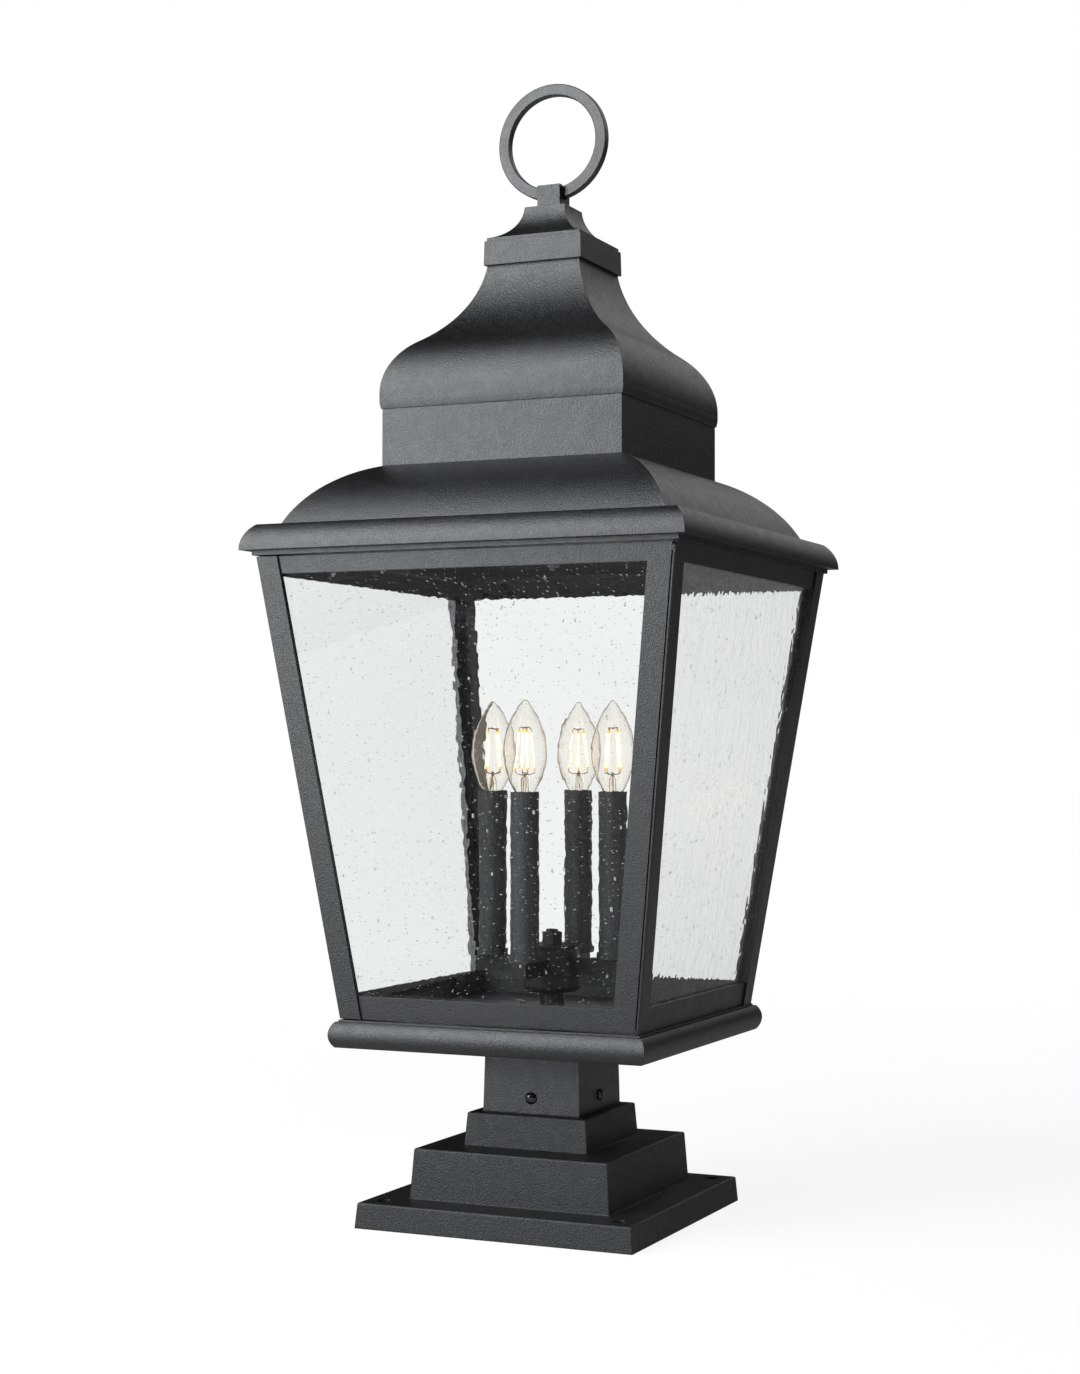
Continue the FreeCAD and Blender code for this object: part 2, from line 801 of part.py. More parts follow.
def side_clips(side):
    """Two clips on the top rail of a side and two on its bottom rail."""
    turn = SIDE_ENDS[side][0]
    made = []
    for at_top in (True, False):
        for across in (-size["clip_spacing"] / 2, size["clip_spacing"] / 2):
            clip = glass_clip(f"{side}_clip_{len(made) + 1}", across, at_top)
            clip.Placement = FreeCAD.Placement(FreeCAD.Vector(), turned(turn))
            made.append(clip)
    return made


def glass_clips():
    fixed = side_clips("right") + side_clips("back") + side_clips("left")
    node(group("glass_clips", *fixed), "glass_clips")
    node(group("door_glass_clips", *side_clips("door")), "door_glass_clips")


def cover_angle(name, turn, side_leg, low, high):
    """A thin angle over one corner, with a side leg that reaches as far back as stated."""
    leg = size["cover_leg"]
    outside = corner_block(f"{name}_outside", (NONE, leg), (NONE, side_leg), low, high)
    inside = corner_block(f"{name}_inside", (cover, leg + overrun), (cover, side_leg + overrun), low, high)
    return node(cut(name, outside, inside), name, turn)


def left_cover_strip():
    """The strip on the left frame that carries on from the door's cover angle, past the door's gap."""
    along = (frame_back + size["door_gap"], size["cover_leg"])
    strip = corner_block("left_cover_strip", (NONE, cover), along, floor_level, cage_level)
    return node(strip, "left_cover_strip")


# Door hinge, along the leaning front right corner

hinge_inset = size["hinge_barrel"] / 2
hinge_stretch = (lean * lean * 2 + 1).square_root()
hinge_tilt = (lean * Length(math.sqrt(2), "sqrt(2)")).arctangent()
top_knuckle_high = cage_level - size["hinge_drop"]
top_knuckle_low = top_knuckle_high - size["top_knuckle"]
bottom_knuckle_high = door_low + size["bottom_knuckle"]


def hinge_rod(label, diameter, low, high):
    """A round rod on the hinge's axis between two levels."""
    made = new_object("Part::Cylinder", label)
    bind(made, Radius=diameter / 2, Height=(high - low) * hinge_stretch)
    half = cage_half(low)
    turn = FreeCAD.Rotation(FreeCAD.Vector(1, 1, 0), hinge_tilt.value)
    place(made, half - hinge_inset, hinge_inset - half, low, turn)
    made.setExpression("Placement.Rotation.Angle", hinge_tilt.formula)
    return made


def hinge_bore(label, low, high):
    bore = size["hinge_pin_diameter"] + size["hinge_play"] * 2
    return hinge_rod(label, bore, low - overrun, high + overrun)


def hinge_barrel():
    """The long barrel on the fixed right frame."""
    low = bottom_knuckle_high + size["hinge_end_gap"]
    high = top_knuckle_low - size["hinge_end_gap"]
    barrel = hinge_rod("hinge_barrel_tube", size["hinge_barrel"], low, high)
    right_end = SIDE_ENDS["right"][1]
    web = hinge_block("hinge_barrel_web", (cover, cover + size["hinge_leaf"]), (hinge_inset, right_end),
                      low + size["hinge_end_gap"], high - size["hinge_end_gap"])
    return node(cut("hinge_barrel", fuse("hinge_barrel_outside", barrel, web),
                    hinge_bore("hinge_barrel_bore", low, high)), "hinge_barrel")


def hinge_knuckle(label, low, high):
    """A short knuckle whose leaf steps through the groove and lies behind the door's stile."""
    leaf = size["hinge_leaf"]
    barrel = hinge_rod(f"{label}_tube", size["hinge_barrel"], low, high)
    near = size["hinge_barrel"] + (size["hinge_groove"] - leaf) / 2
    front = hinge_inset - leaf / 2
    start = low + size["hinge_end_gap"]
    stop = high - size["hinge_end_gap"]
    arm = hinge_block(f"{label}_arm", (hinge_inset, near + leaf), (front, front + leaf), start, stop)
    step = hinge_block(f"{label}_step", (near, near + leaf), (front, frame_back + leaf), start, stop)
    back_end = hinge_edge + size["stile_width"] - size["glass_overlap"] - size["door_gap"]
    back = hinge_block(f"{label}_back", (near, back_end), (frame_back, frame_back + leaf), start, stop)
    outside = fuse(f"{label}_outside", barrel, arm, step, back)
    return cut(label, outside, hinge_bore(f"{label}_bore", low, high))


def door_knuckles():
    low_one = hinge_knuckle("bottom_knuckle", door_low, bottom_knuckle_high)
    high_one = hinge_knuckle("top_knuckle", top_knuckle_low, top_knuckle_high)
    return node(group("door_knuckles", low_one, high_one), "door_knuckles")


def hinge_pin():
    return node(hinge_rod("hinge_pin", size["hinge_pin_diameter"], door_low, top_knuckle_high), "hinge_pin")


def door_catch():
    """The small magnet on the left frame that holds the door's stile shut."""
    low = floor_level + size["catch_rise"]
    front = frame_back + size["door_gap"]
    block = corner_block("door_catch", (frame_back, frame_back + size["catch_width"]),
                         (front, front + size["catch_depth"]), low, low + size["catch_height"])
    return node(block, "door_catch")


# Roof

wall = size["roof_wall"]


def roof_shell(label, half_outline, opening):
    """A hollow roof piece. Its room is the same outline one wall thickness inward and down."""
    room = [(across - wall, up - wall, swell) for across, up, swell in half_outline]
    outside = square_solid(f"{label}_outside", half_outline)
    return cut(label, outside, square_solid(f"{label}_room", room), opening)


def rod_hole(label, low, high):
    """A clearance hole for the roof rod."""
    return cylinder(f"{label}_rod_hole", size["rod_diameter"] + size["rod_clearance"] * 2, low, high)


def seat_ring():
    """The flat ring on the cage that the roof stands on and that shuts in the glass."""
    outside = square("seat_outside", seat_width, cage_level, seat_level)
    opening = square("seat_opening", seat_opening, cage_level - overrun, seat_level + overrun)
    return node(cut("seat_ring", outside, opening), "seat_ring")


def eave_moulding():
    outside = square_solid("eave_outside", [
        (shelf_width / 2, eave_level, size["eave_swell"]),
        (eave_width / 2, seat_level, None),
    ])
    room = square("eave_room", shelf_width - wall * 2, seat_level - overrun, eave_level - wall)
    opening = square("eave_opening", seat_opening, seat_level, eave_level + overrun)
    return node(cut("eave_moulding", outside, room, opening), "eave_moulding")


def dome_roof():
    outline = [
        (dome_top / 2, dome_level, size["dome_swell"]),
        (dome_foot / 2, eave_level, None),
    ]
    throat = square("dome_throat", throat_width, eave_level, dome_level + overrun)
    return node(roof_shell("dome_roof", outline, throat), "dome_roof")


def upper_box():
    outside = square("upper_box_outside", size["box_width"], dome_level, box_level)
    room = square("upper_box_room", size["box_width"] - wall * 2, dome_level - overrun, box_level + overrun)
    return node(cut("upper_box", outside, room), "upper_box")


def ogee_roof():
    outline = [
        (size["ogee_top"] / 2, ogee_level, -size["ogee_hollow"]),
        (size["ogee_turn"] / 2, box_level + size["ogee_turn_rise"], size["ogee_shoulder_swell"]),
        (ogee_waist / 2, box_level + size["ogee_waist_rise"], size["ogee_waist_swell"]),
        (ogee_foot / 2, box_level, None),
    ]
    hole = rod_hole("ogee", box_level, ogee_level + overrun)
    return node(roof_shell("ogee_roof", outline, hole), "ogee_roof")


def collar():
    outside = taper("collar_outside", collar_foot, collar_top, ogee_level, collar_level)
    room = square("collar_room", collar_top - wall * 2, ogee_level - overrun, collar_level - wall)
    hole = rod_hole("collar", ogee_level, collar_level + overrun)
    return node(cut("collar", outside, room, hole), "collar")


def finial_cap():
    outline = [
        (size["cap_top"] / 2, cap_level, -size["cap_hollow"]),
        (cap_foot / 2, collar_level + size["cap_rim"], None),
        (cap_foot / 2, collar_level, None),
    ]
    hole = rod_hole("cap", collar_level, cap_level + overrun)
    return node(roof_shell("finial_cap", outline, hole), "finial_cap")


# Ring finial and roof rod

ring_foot = stem_level - size["ring_seat"]
ring_level = ring_foot + size["ring_outer"] / 2
rod_top = ring_foot - size["rod_grip_floor"]
rod_thread = size["rod_diameter"] + size["thread_clearance"] * 2


def ring_stem():
    """The square post that grips the ring and screws down on the roof rod."""
    half = size["stem_width"] / 2
    post = square("stem_post", size["stem_width"], cap_level, stem_level)
    grip = size["ring_thickness"] / 2 + size["ring_clearance"]
    slot = box("stem_slot", (-half - overrun, half + overrun), (-grip, grip),
               (ring_foot, stem_level + overrun))
    hole = cylinder("stem_rod_hole", rod_thread, cap_level - overrun, rod_top)
    return node(cut("ring_stem", post, slot, hole), "ring_stem")


def finial_ring():
    outer = size["ring_outer"] / 2
    inner_edge = size["ring_inner"] / 2
    half = size["ring_thickness"] / 2
    edge = size["ring_edge"]
    body = turned_body("finial_ring", [
        (inner_edge + edge, half, None),
        (outer - edge, half, None),
        (outer, half - edge, None),
        (outer, edge - half, None),
        (outer - edge, -half, None),
        (inner_edge + edge, -half, None),
        (inner_edge, edge - half, None),
        (inner_edge, half - edge, None),
    ], z=ring_level, turn=FRONT_VIEW)
    return node(body, "finial_ring")


def roof_rod():
    low = seat_level - size["rod_nut_height"] - size["rod_end"]
    return node(cylinder("roof_rod", size["rod_diameter"], low, rod_top - size["rod_clearance"]), "roof_rod")


def rod_nuts():
    """A nut on each side of the crossbar."""
    width = size["rod_nut_width"]
    height = size["rod_nut_height"]
    low = hexagon_nut("rod_nut_1", width, rod_thread, seat_level - height, height)
    high = hexagon_nut("rod_nut_2", width, rod_thread, seat_level + size["crossbar_thickness"], height)
    return node(group("rod_nuts", low, high), "rod_nuts")


def roof_crossbar():
    """The bar across the seat ring that the roof is drawn down on."""
    half_length = crossbar_length / 2
    half_width = size["crossbar_width"] / 2
    top = seat_level + size["crossbar_thickness"]
    bar = box("crossbar_bar", (-half_length, half_length), (-half_width, half_width), (seat_level, top))
    hole = rod_hole("crossbar", seat_level - overrun, top + overrun)
    return node(cut("roof_crossbar", bar, hole), "roof_crossbar")


# Candle cluster

standoff_level = floor_level + size["standoff_height"]
bell_level = standoff_level + size["bell_height"]
hub_level = bell_level + size["hub_height"]
arm_low = bell_level + size["arm_foot"]
arm_level = arm_low + size["arm_height"]
washer_level = hub_level + size["washer_thickness"]
sleeve_foot = arm_level + size["cup_floor"]
sleeve_level = sleeve_foot + size["sleeve_length"]
socket_level = sleeve_level - size["socket_drop"]
candle = size["candle_offset"]


def threaded_nipple():
    """The hollow threaded pipe that clamps the cluster to the floor and lets the leads up."""
    low = moulding_level - size["nipple_nut_height"] - size["nipple_end"]
    high = washer_level + size["nipple_nut_height"] + size["nipple_end"]
    rod = tube("threaded_nipple", size["nipple_diameter"], size["nipple_bore"], low, high)
    return node(rod, "threaded_nipple")


def nipple_nuts():
    """The nut under the floor, and the washer and nut on top of the hub."""
    width = size["nipple_nut_width"]
    height = size["nipple_nut_height"]
    high = hexagon_nut("nipple_nut_1", width, nipple_hole, washer_level, height)
    low = hexagon_nut("nipple_nut_2", width, nipple_hole, moulding_level - height, height)
    washer = tube("nipple_washer", size["washer_diameter"], nipple_hole, hub_level, washer_level)
    return node(group("nipple_nuts", high, low, washer), "nipple_nuts")


def standoff():
    """The short tube that lifts the cluster off the floor."""
    collar_tube = tube("standoff", size["standoff_diameter"], nipple_hole, floor_level, standoff_level)
    return node(collar_tube, "standoff")


def hub_bell():
    """The round bell under the arms, with a rounded foot."""
    outer = size["bell_diameter"] / 2
    bore = nipple_hole / 2
    turn = size["bell_round"]
    return node(turned_body("hub_bell", [
        (bore, bell_level, None),
        (outer, bell_level, None),
        (outer, standoff_level + turn, turn * QUARTER_SWELL),
        (outer - turn, standoff_level, None),
        (bore, standoff_level, None),
    ]), "hub_bell")


def arm_spider():
    """The hub and its four arms, cast in one piece."""
    hub = cylinder("spider_hub", size["hub_diameter"], bell_level, hub_level)
    reach = (-size["arm_reach"], size["arm_reach"])
    width = (-size["arm_width"] / 2, size["arm_width"] / 2)
    along_x = box("spider_arms_x", reach, width, (arm_low, arm_level))
    along_y = box("spider_arms_y", width, reach, (arm_low, arm_level))
    bore = cylinder("spider_bore", nipple_hole, bell_level - overrun, hub_level + overrun)
    return node(cut("arm_spider", fuse("spider_outside", hub, along_x, along_y), bore), "arm_spider")


def candle_cup(label):
    """A shallow cup on an arm's end, for the foot of a candle sleeve."""
    top = arm_level + size["cup_height"]
    outside = cylinder(f"{label}_outside", size["cup_diameter"], arm_level, top, candle)
    room = cylinder(f"{label}_room", size["sleeve_diameter"] + size["sleeve_play"] * 2, sleeve_foot,
                    top + overrun, candle)
    return cut(label, outside, room)


def candle_sleeve(index):
    name = f"candle_sleeve_{index + 1}"
    bore = size["sleeve_diameter"] - size["sleeve_wall"] * 2
    sleeve = tube(name, size["sleeve_diameter"], bore, sleeve_foot, sleeve_level, candle)
    return node(sleeve, name, index)


def lamp_socket(label):
    """A candle socket on the stem that stands in its cup."""
    low = socket_level - size["socket_length"]
    shell = cylinder(f"{label}_shell", size["socket_diameter"], low, socket_level, candle)
    stem = cylinder(f"{label}_stem", size["socket_stem_diameter"], sleeve_foot, low, candle)
    bore = cylinder(f"{label}_bore", size["lamp_base_diameter"] + size["lamp_base_play"] * 2,
                    socket_level - size["socket_depth"], socket_level + overrun, candle)
    return cut(label, fuse(f"{label}_outside", shell, stem), bore)


# Lamps

lamp_level = socket_level + size["lamp_base_rise"]


def lamp_places():
    """The candle positions, in quarter turns from +X."""
    return ((candle, NONE), (NONE, candle), (-candle, NONE), (NONE, -candle))


def bulb_base(index, x, y):
    """The candelabra cap with its contact."""
    radius = size["lamp_base_diameter"] / 2
    contact = size["lamp_contact_diameter"] / 2
    low = lamp_level - size["lamp_base_length"]
    name = f"bulb_base_{index}"
    return node(turned_body(name, [
        (NONE, low - size["lamp_contact_height"], None),
        (NONE, lamp_level, None),
        (radius, lamp_level, None),
        (radius, low, None),
        (contact, low, None),
        (contact, low - size["lamp_contact_height"], None),
    ], x, y), name)


def bulb_glass(index, x, y):
    """The candle-shaped glass envelope, hollow."""
    skin = size["glass_wall"]
    neck = size["glass_neck"] / 2
    belly = size["glass_belly"] / 2
    tip = size["glass_tip"] / 2
    belly_level = lamp_level + size["glass_belly_rise"]
    tip_level = lamp_level + size["glass_tip_rise"]
    top_level = lamp_level + size["glass_length"]
    name = f"bulb_glass_{index}"
    return node(turned_body(name, [
        (NONE, top_level, crown_swell(tip, top_level - tip_level)),
        (tip, tip_level, size["glass_shoulder_swell"]),
        (belly, belly_level, size["glass_belly_swell"]),
        (neck, lamp_level, None),
        (neck - skin, lamp_level, -size["glass_belly_swell"]),
        (belly - skin, belly_level, -size["glass_shoulder_swell"]),
        (tip - skin, tip_level - skin, -crown_swell(tip - skin, top_level - tip_level)),
        (NONE, top_level - skin, None),
    ], x, y), name)


def leaning_wire(label, diameter, foot_radius, foot_level, top_radius, top_level):
    """A straight round wire in the plane of X and Z, as a group of its own so that it can be turned."""
    slope = (top_radius - foot_radius) / (top_level - foot_level)
    wire = new_object("Part::Cylinder", f"{label}_wire")
    bind(wire, Radius=diameter / 2, Height=(top_level - foot_level) * (slope * slope + 1).square_root())
    place(wire, foot_radius, NONE, foot_level, FreeCAD.Rotation(ALONG_Y, slope.arctangent().value))
    wire.setExpression("Placement.Rotation.Angle", slope.arctangent().formula)
    return group(label, wire)


def bulb_filaments(index, x, y):
    """Four lit sticks that lean in to a ring, on a glass stem with its wires."""
    name = f"bulb_filaments_{index}"
    foot = lamp_level + size["filament_rise"]
    top = foot + size["filament_length"]
    stem_top = lamp_level + size["filament_stem_height"]
    thin = size["filament_wire_diameter"]
    pieces = [
        cylinder(f"{name}_stem", size["filament_stem_diameter"], lamp_level, stem_top),
        cylinder(f"{name}_mast", thin, stem_top, top),
    ]
    ring = new_object("Part::Torus", f"{name}_ring")
    bind(ring, Radius1=size["filament_top_radius"], Radius2=thin / 2)
    pieces.append(place(ring, z=top))
    foot_radius = size["filament_foot_radius"]
    top_radius = size["filament_top_radius"]
    across = (-thin / 4, thin / 4)
    pieces.append(box(f"{name}_bridge", (-top_radius, top_radius), across, (top - thin / 4, top + thin / 4)))
    for quarters in range(4):
        stick = leaning_wire(f"{name}_stick_{quarters + 1}", size["filament_diameter"], foot_radius, foot,
                             top_radius, top)
        lead = leaning_wire(f"{name}_lead_{quarters + 1}", thin, size["filament_stem_diameter"] / 4,
                            stem_top - thin, foot_radius, foot + thin)
        for piece in (stick, lead):
            piece.Placement = FreeCAD.Placement(FreeCAD.Vector(), turned(quarters))
            pieces.append(piece)
    return node(place(fuse(name, *pieces), x, y), name)


# The whole light

pier_base()
post_stub()
neck_fitter()
clamp_screws()
bottom_moulding()
floor_plate()
floor_screws()
panel_frame("door", door_low, door_high)
for fixed_side in ("right", "back", "left"):
    panel_frame(fixed_side, floor_level, cage_level)
for any_side in SIDE_ENDS:
    glass_panel(any_side)
glass_clips()
cover_angle("door_cover_angle", FRONT, frame_back, door_low, door_high)
cover_angle("back_right_cover_angle", BACK, size["cover_leg"], floor_level, cage_level)
cover_angle("back_left_cover_angle", LEFT, size["cover_leg"], floor_level, cage_level)
left_cover_strip()
hinge_barrel()
door_knuckles()
hinge_pin()
door_catch()
seat_ring()
eave_moulding()
dome_roof()
upper_box()
ogee_roof()
collar()
finial_cap()
ring_stem()
finial_ring()
roof_rod()
rod_nuts()
roof_crossbar()
threaded_nipple()
nipple_nuts()
standoff()
hub_bell()
arm_spider()
node(copies("candle_cups", candle_cup), "candle_cups")
node(copies("lamp_sockets", lamp_socket), "lamp_sockets")
for candle_turn in range(4):
    candle_sleeve(candle_turn)
for lamp_number, (lamp_x, lamp_y) in enumerate(lamp_places(), start=1):
    bulb_base(lamp_number, lamp_x, lamp_y)
    bulb_glass(lamp_number, lamp_x, lamp_y)
    bulb_filaments(lamp_number, lamp_x, lamp_y)

doc.recompute()

for made in doc.Objects:
    if "Invalid" in made.State or "Error" in made.State:
        raise RuntimeError(f"{made.Label} did not build: {made.State}")
for part in nodes:
    if part.Shape.isNull() or not part.Shape.isValid():
        raise RuntimeError(f"{part.Label} has no valid shape")
    if not part.Shape.Solids:
        raise RuntimeError(f"{part.Label} has no solid")

os.makedirs("parts", exist_ok=True)
for part in nodes:
    part.Shape.exportStep(f"parts/{part.Label}.step")
    bounds = part.Shape.BoundBox
    print(f"{part.Label}: {len(part.Shape.Solids)} solid(s), {part.Shape.Volume:.0f} mm3,"
          f" z {bounds.ZMin:.1f} to {bounds.ZMax:.1f}")
print(len(nodes), "sub-parts")
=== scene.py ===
import math

import bmesh
import bpy
from mathutils import Matrix, Vector


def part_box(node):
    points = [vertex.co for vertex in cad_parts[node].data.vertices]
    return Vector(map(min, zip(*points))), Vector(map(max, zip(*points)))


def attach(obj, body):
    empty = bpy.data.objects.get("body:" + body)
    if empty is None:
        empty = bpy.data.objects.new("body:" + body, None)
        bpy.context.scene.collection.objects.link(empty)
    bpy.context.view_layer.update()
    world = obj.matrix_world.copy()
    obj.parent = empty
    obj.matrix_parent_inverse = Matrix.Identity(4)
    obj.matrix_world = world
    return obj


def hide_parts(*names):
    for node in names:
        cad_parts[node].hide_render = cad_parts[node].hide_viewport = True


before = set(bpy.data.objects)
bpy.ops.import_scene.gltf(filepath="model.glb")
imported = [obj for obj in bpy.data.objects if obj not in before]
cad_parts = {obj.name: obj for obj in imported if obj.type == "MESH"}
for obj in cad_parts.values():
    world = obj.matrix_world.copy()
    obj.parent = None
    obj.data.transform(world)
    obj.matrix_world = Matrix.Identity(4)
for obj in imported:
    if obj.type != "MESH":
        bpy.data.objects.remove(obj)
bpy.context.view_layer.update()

MM = 0.001
UP = Vector((0.0, 0.0, 1.0))


# Node helpers

# The Mix node's sockets when it mixes colours
MIX_FACTOR = 0
MIX_FIRST = 6
MIX_SECOND = 7
MIX_RESULT = 2


def new_material(name):
    """A material with an empty node tree and its output node."""
    material = bpy.data.materials.new(name)
    material.use_nodes = True
    tree = material.node_tree
    tree.nodes.clear()
    output = tree.nodes.new("ShaderNodeOutputMaterial")
    return material, tree, output


def add(tree, kind, inputs=None, **settings):
    """A node of the kind. Each input is a plain value, or a socket to link from."""
    made = tree.nodes.new(kind)
    for name, value in settings.items():
        setattr(made, name, value)
    for name, value in (inputs or {}).items():
        socket = made.inputs[name]
        if isinstance(value, bpy.types.NodeSocket):
            tree.links.new(value, socket)
        else:
            socket.default_value = value
    return made


def math_node(tree, operation, first, second):
    return add(tree, "ShaderNodeMath", {0: first, 1: second}, operation=operation).outputs[0]


def remap(tree, value, low, high, to_low=0.0, to_high=1.0):
    """The value taken from one range to another, without leaving it."""
    made = add(tree, "ShaderNodeMapRange", {
        "Value": value, "From Min": low, "From Max": high, "To Min": to_low, "To Max": to_high,
    })
    return made.outputs["Result"]


def mix_colour(tree, factor, first, second):
    made = add(tree, "ShaderNodeMix", {MIX_FACTOR: factor, MIX_FIRST: first, MIX_SECOND: second}, data_type="RGBA")
    return made.outputs[MIX_RESULT]


def noise(tree, where, per_metre, detail=2.0, roughness=0.5):
    made = add(tree, "ShaderNodeTexNoise", {
        "Vector": where, "Scale": per_metre, "Detail": detail, "Roughness": roughness,
    })
    return made.outputs["Fac"]


def place_of(tree):
    """Every piece's own coordinates, which are metres in the frame."""
    return tree.nodes.new("ShaderNodeTexCoord").outputs["Object"]


def grey(level):
    return (level, level, level, 1.0)


# Materials

# How many bumps each noise has along a metre
GRAINS = 820.0
FINE_GRAINS = 1900.0
PEEL_LUMPS = 130.0
CLOUDS = 9.0
STREAKS = 2500.0
PATCHES = 90.0
MOTTLES = 300.0
BROAD_RIPPLES = 45.0
NARROW_RIPPLES = 95.0

# How much of each other noise is added to the height of the grains or of the broad ripples
FINE_SHARE = 0.4
PEEL_SHARE = 0.25
NARROW_SHARE = 0.6

RIPPLE_HEIGHT = 0.37 * MM
SEED_HEIGHT = 0.3 * MM
SHEET_GLASS_IOR = 1.42
BULB_GLASS_IOR = 1.48


def powder_coat(name, dark, light, roughness, grain_height,
                edge_radius=0.5 * MM, gloss=1.0, grains=GRAINS):
    """Sandy powder coat: a fine bump with pale and dark grains, softer at the edges.

    Grains is how many of them lie along a metre.
    """
    material, tree, output = new_material(name)
    where = place_of(tree)
    grain = noise(tree, where, grains, detail=2.0, roughness=0.6)
    fine = noise(tree, where, FINE_GRAINS, detail=2.0)
    peel = noise(tree, where, PEEL_LUMPS, detail=2.0)
    cloud = noise(tree, where, CLOUDS, detail=3.0)
    speckle = remap(tree, grain, 0.42, 0.62)
    tint = mix_colour(tree, speckle, dark, light)
    colour = mix_colour(tree, remap(tree, cloud, 0.3, 0.7, to_high=0.18), tint, dark)
    uneven = math_node(tree, "ADD", grain, peel)
    rough = remap(tree, uneven, 0.7, 1.3, to_low=roughness - 0.06, to_high=roughness + 0.08)
    height = math_node(tree, "ADD", grain, math_node(tree, "MULTIPLY", fine, FINE_SHARE))
    height = math_node(tree, "ADD", height, math_node(tree, "MULTIPLY", peel, PEEL_SHARE))
    soft_edge = add(tree, "ShaderNodeBevel", {"Radius": edge_radius}, samples=4)
    bump = add(tree, "ShaderNodeBump", {
        "Strength": 1.0, "Distance": grain_height, "Height": height, "Normal": soft_edge.outputs[0],
    })
    shader = add(tree, "ShaderNodeBsdfPrincipled", {
        "Base Color": colour, "Roughness": rough, "Normal": bump.outputs[0], "Specular IOR Level": gloss,
    })
    tree.links.new(shader.outputs[0], output.inputs[0])
    return material


def bare_metal(name, colour, worn, roughness):
    """Drawn or plated metal with fine streaks and a few duller patches."""
    material, tree, output = new_material(name)
    where = place_of(tree)
    stretched = add(tree, "ShaderNodeMapping", {"Vector": where, "Scale": (1.0, 1.0, 0.08)})
    streak = noise(tree, stretched.outputs[0], STREAKS, detail=3.0)
    patch = noise(tree, where, PATCHES, detail=3.0)
    tint = mix_colour(tree, remap(tree, patch, 0.4, 0.7), colour, worn)
    uneven = math_node(tree, "ADD", streak, patch)
    rough = remap(tree, uneven, 0.7, 1.3, to_low=roughness - 0.05, to_high=roughness + 0.12)
    bump = add(tree, "ShaderNodeBump", {"Strength": 0.3, "Distance": 0.02 * MM, "Height": streak})
    shader = add(tree, "ShaderNodeBsdfPrincipled", {
        "Base Color": tint, "Roughness": rough, "Normal": bump.outputs[0], "Metallic": 1.0,
    })
    tree.links.new(shader.outputs[0], output.inputs[0])
    return material


def let_lamps_through(tree, output, surface, tint):
    """Makes the glass surface cast a pale, even shadow in place of a black one."""
    clear = add(tree, "ShaderNodeBsdfTransparent", {"Color": tint})
    for_lamps = tree.nodes.new("ShaderNodeLightPath").outputs["Is Shadow Ray"]
    both = add(tree, "ShaderNodeMixShader", {0: for_lamps, 1: surface.outputs[0], 2: clear.outputs[0]})
    tree.links.new(both.outputs[0], output.inputs[0])


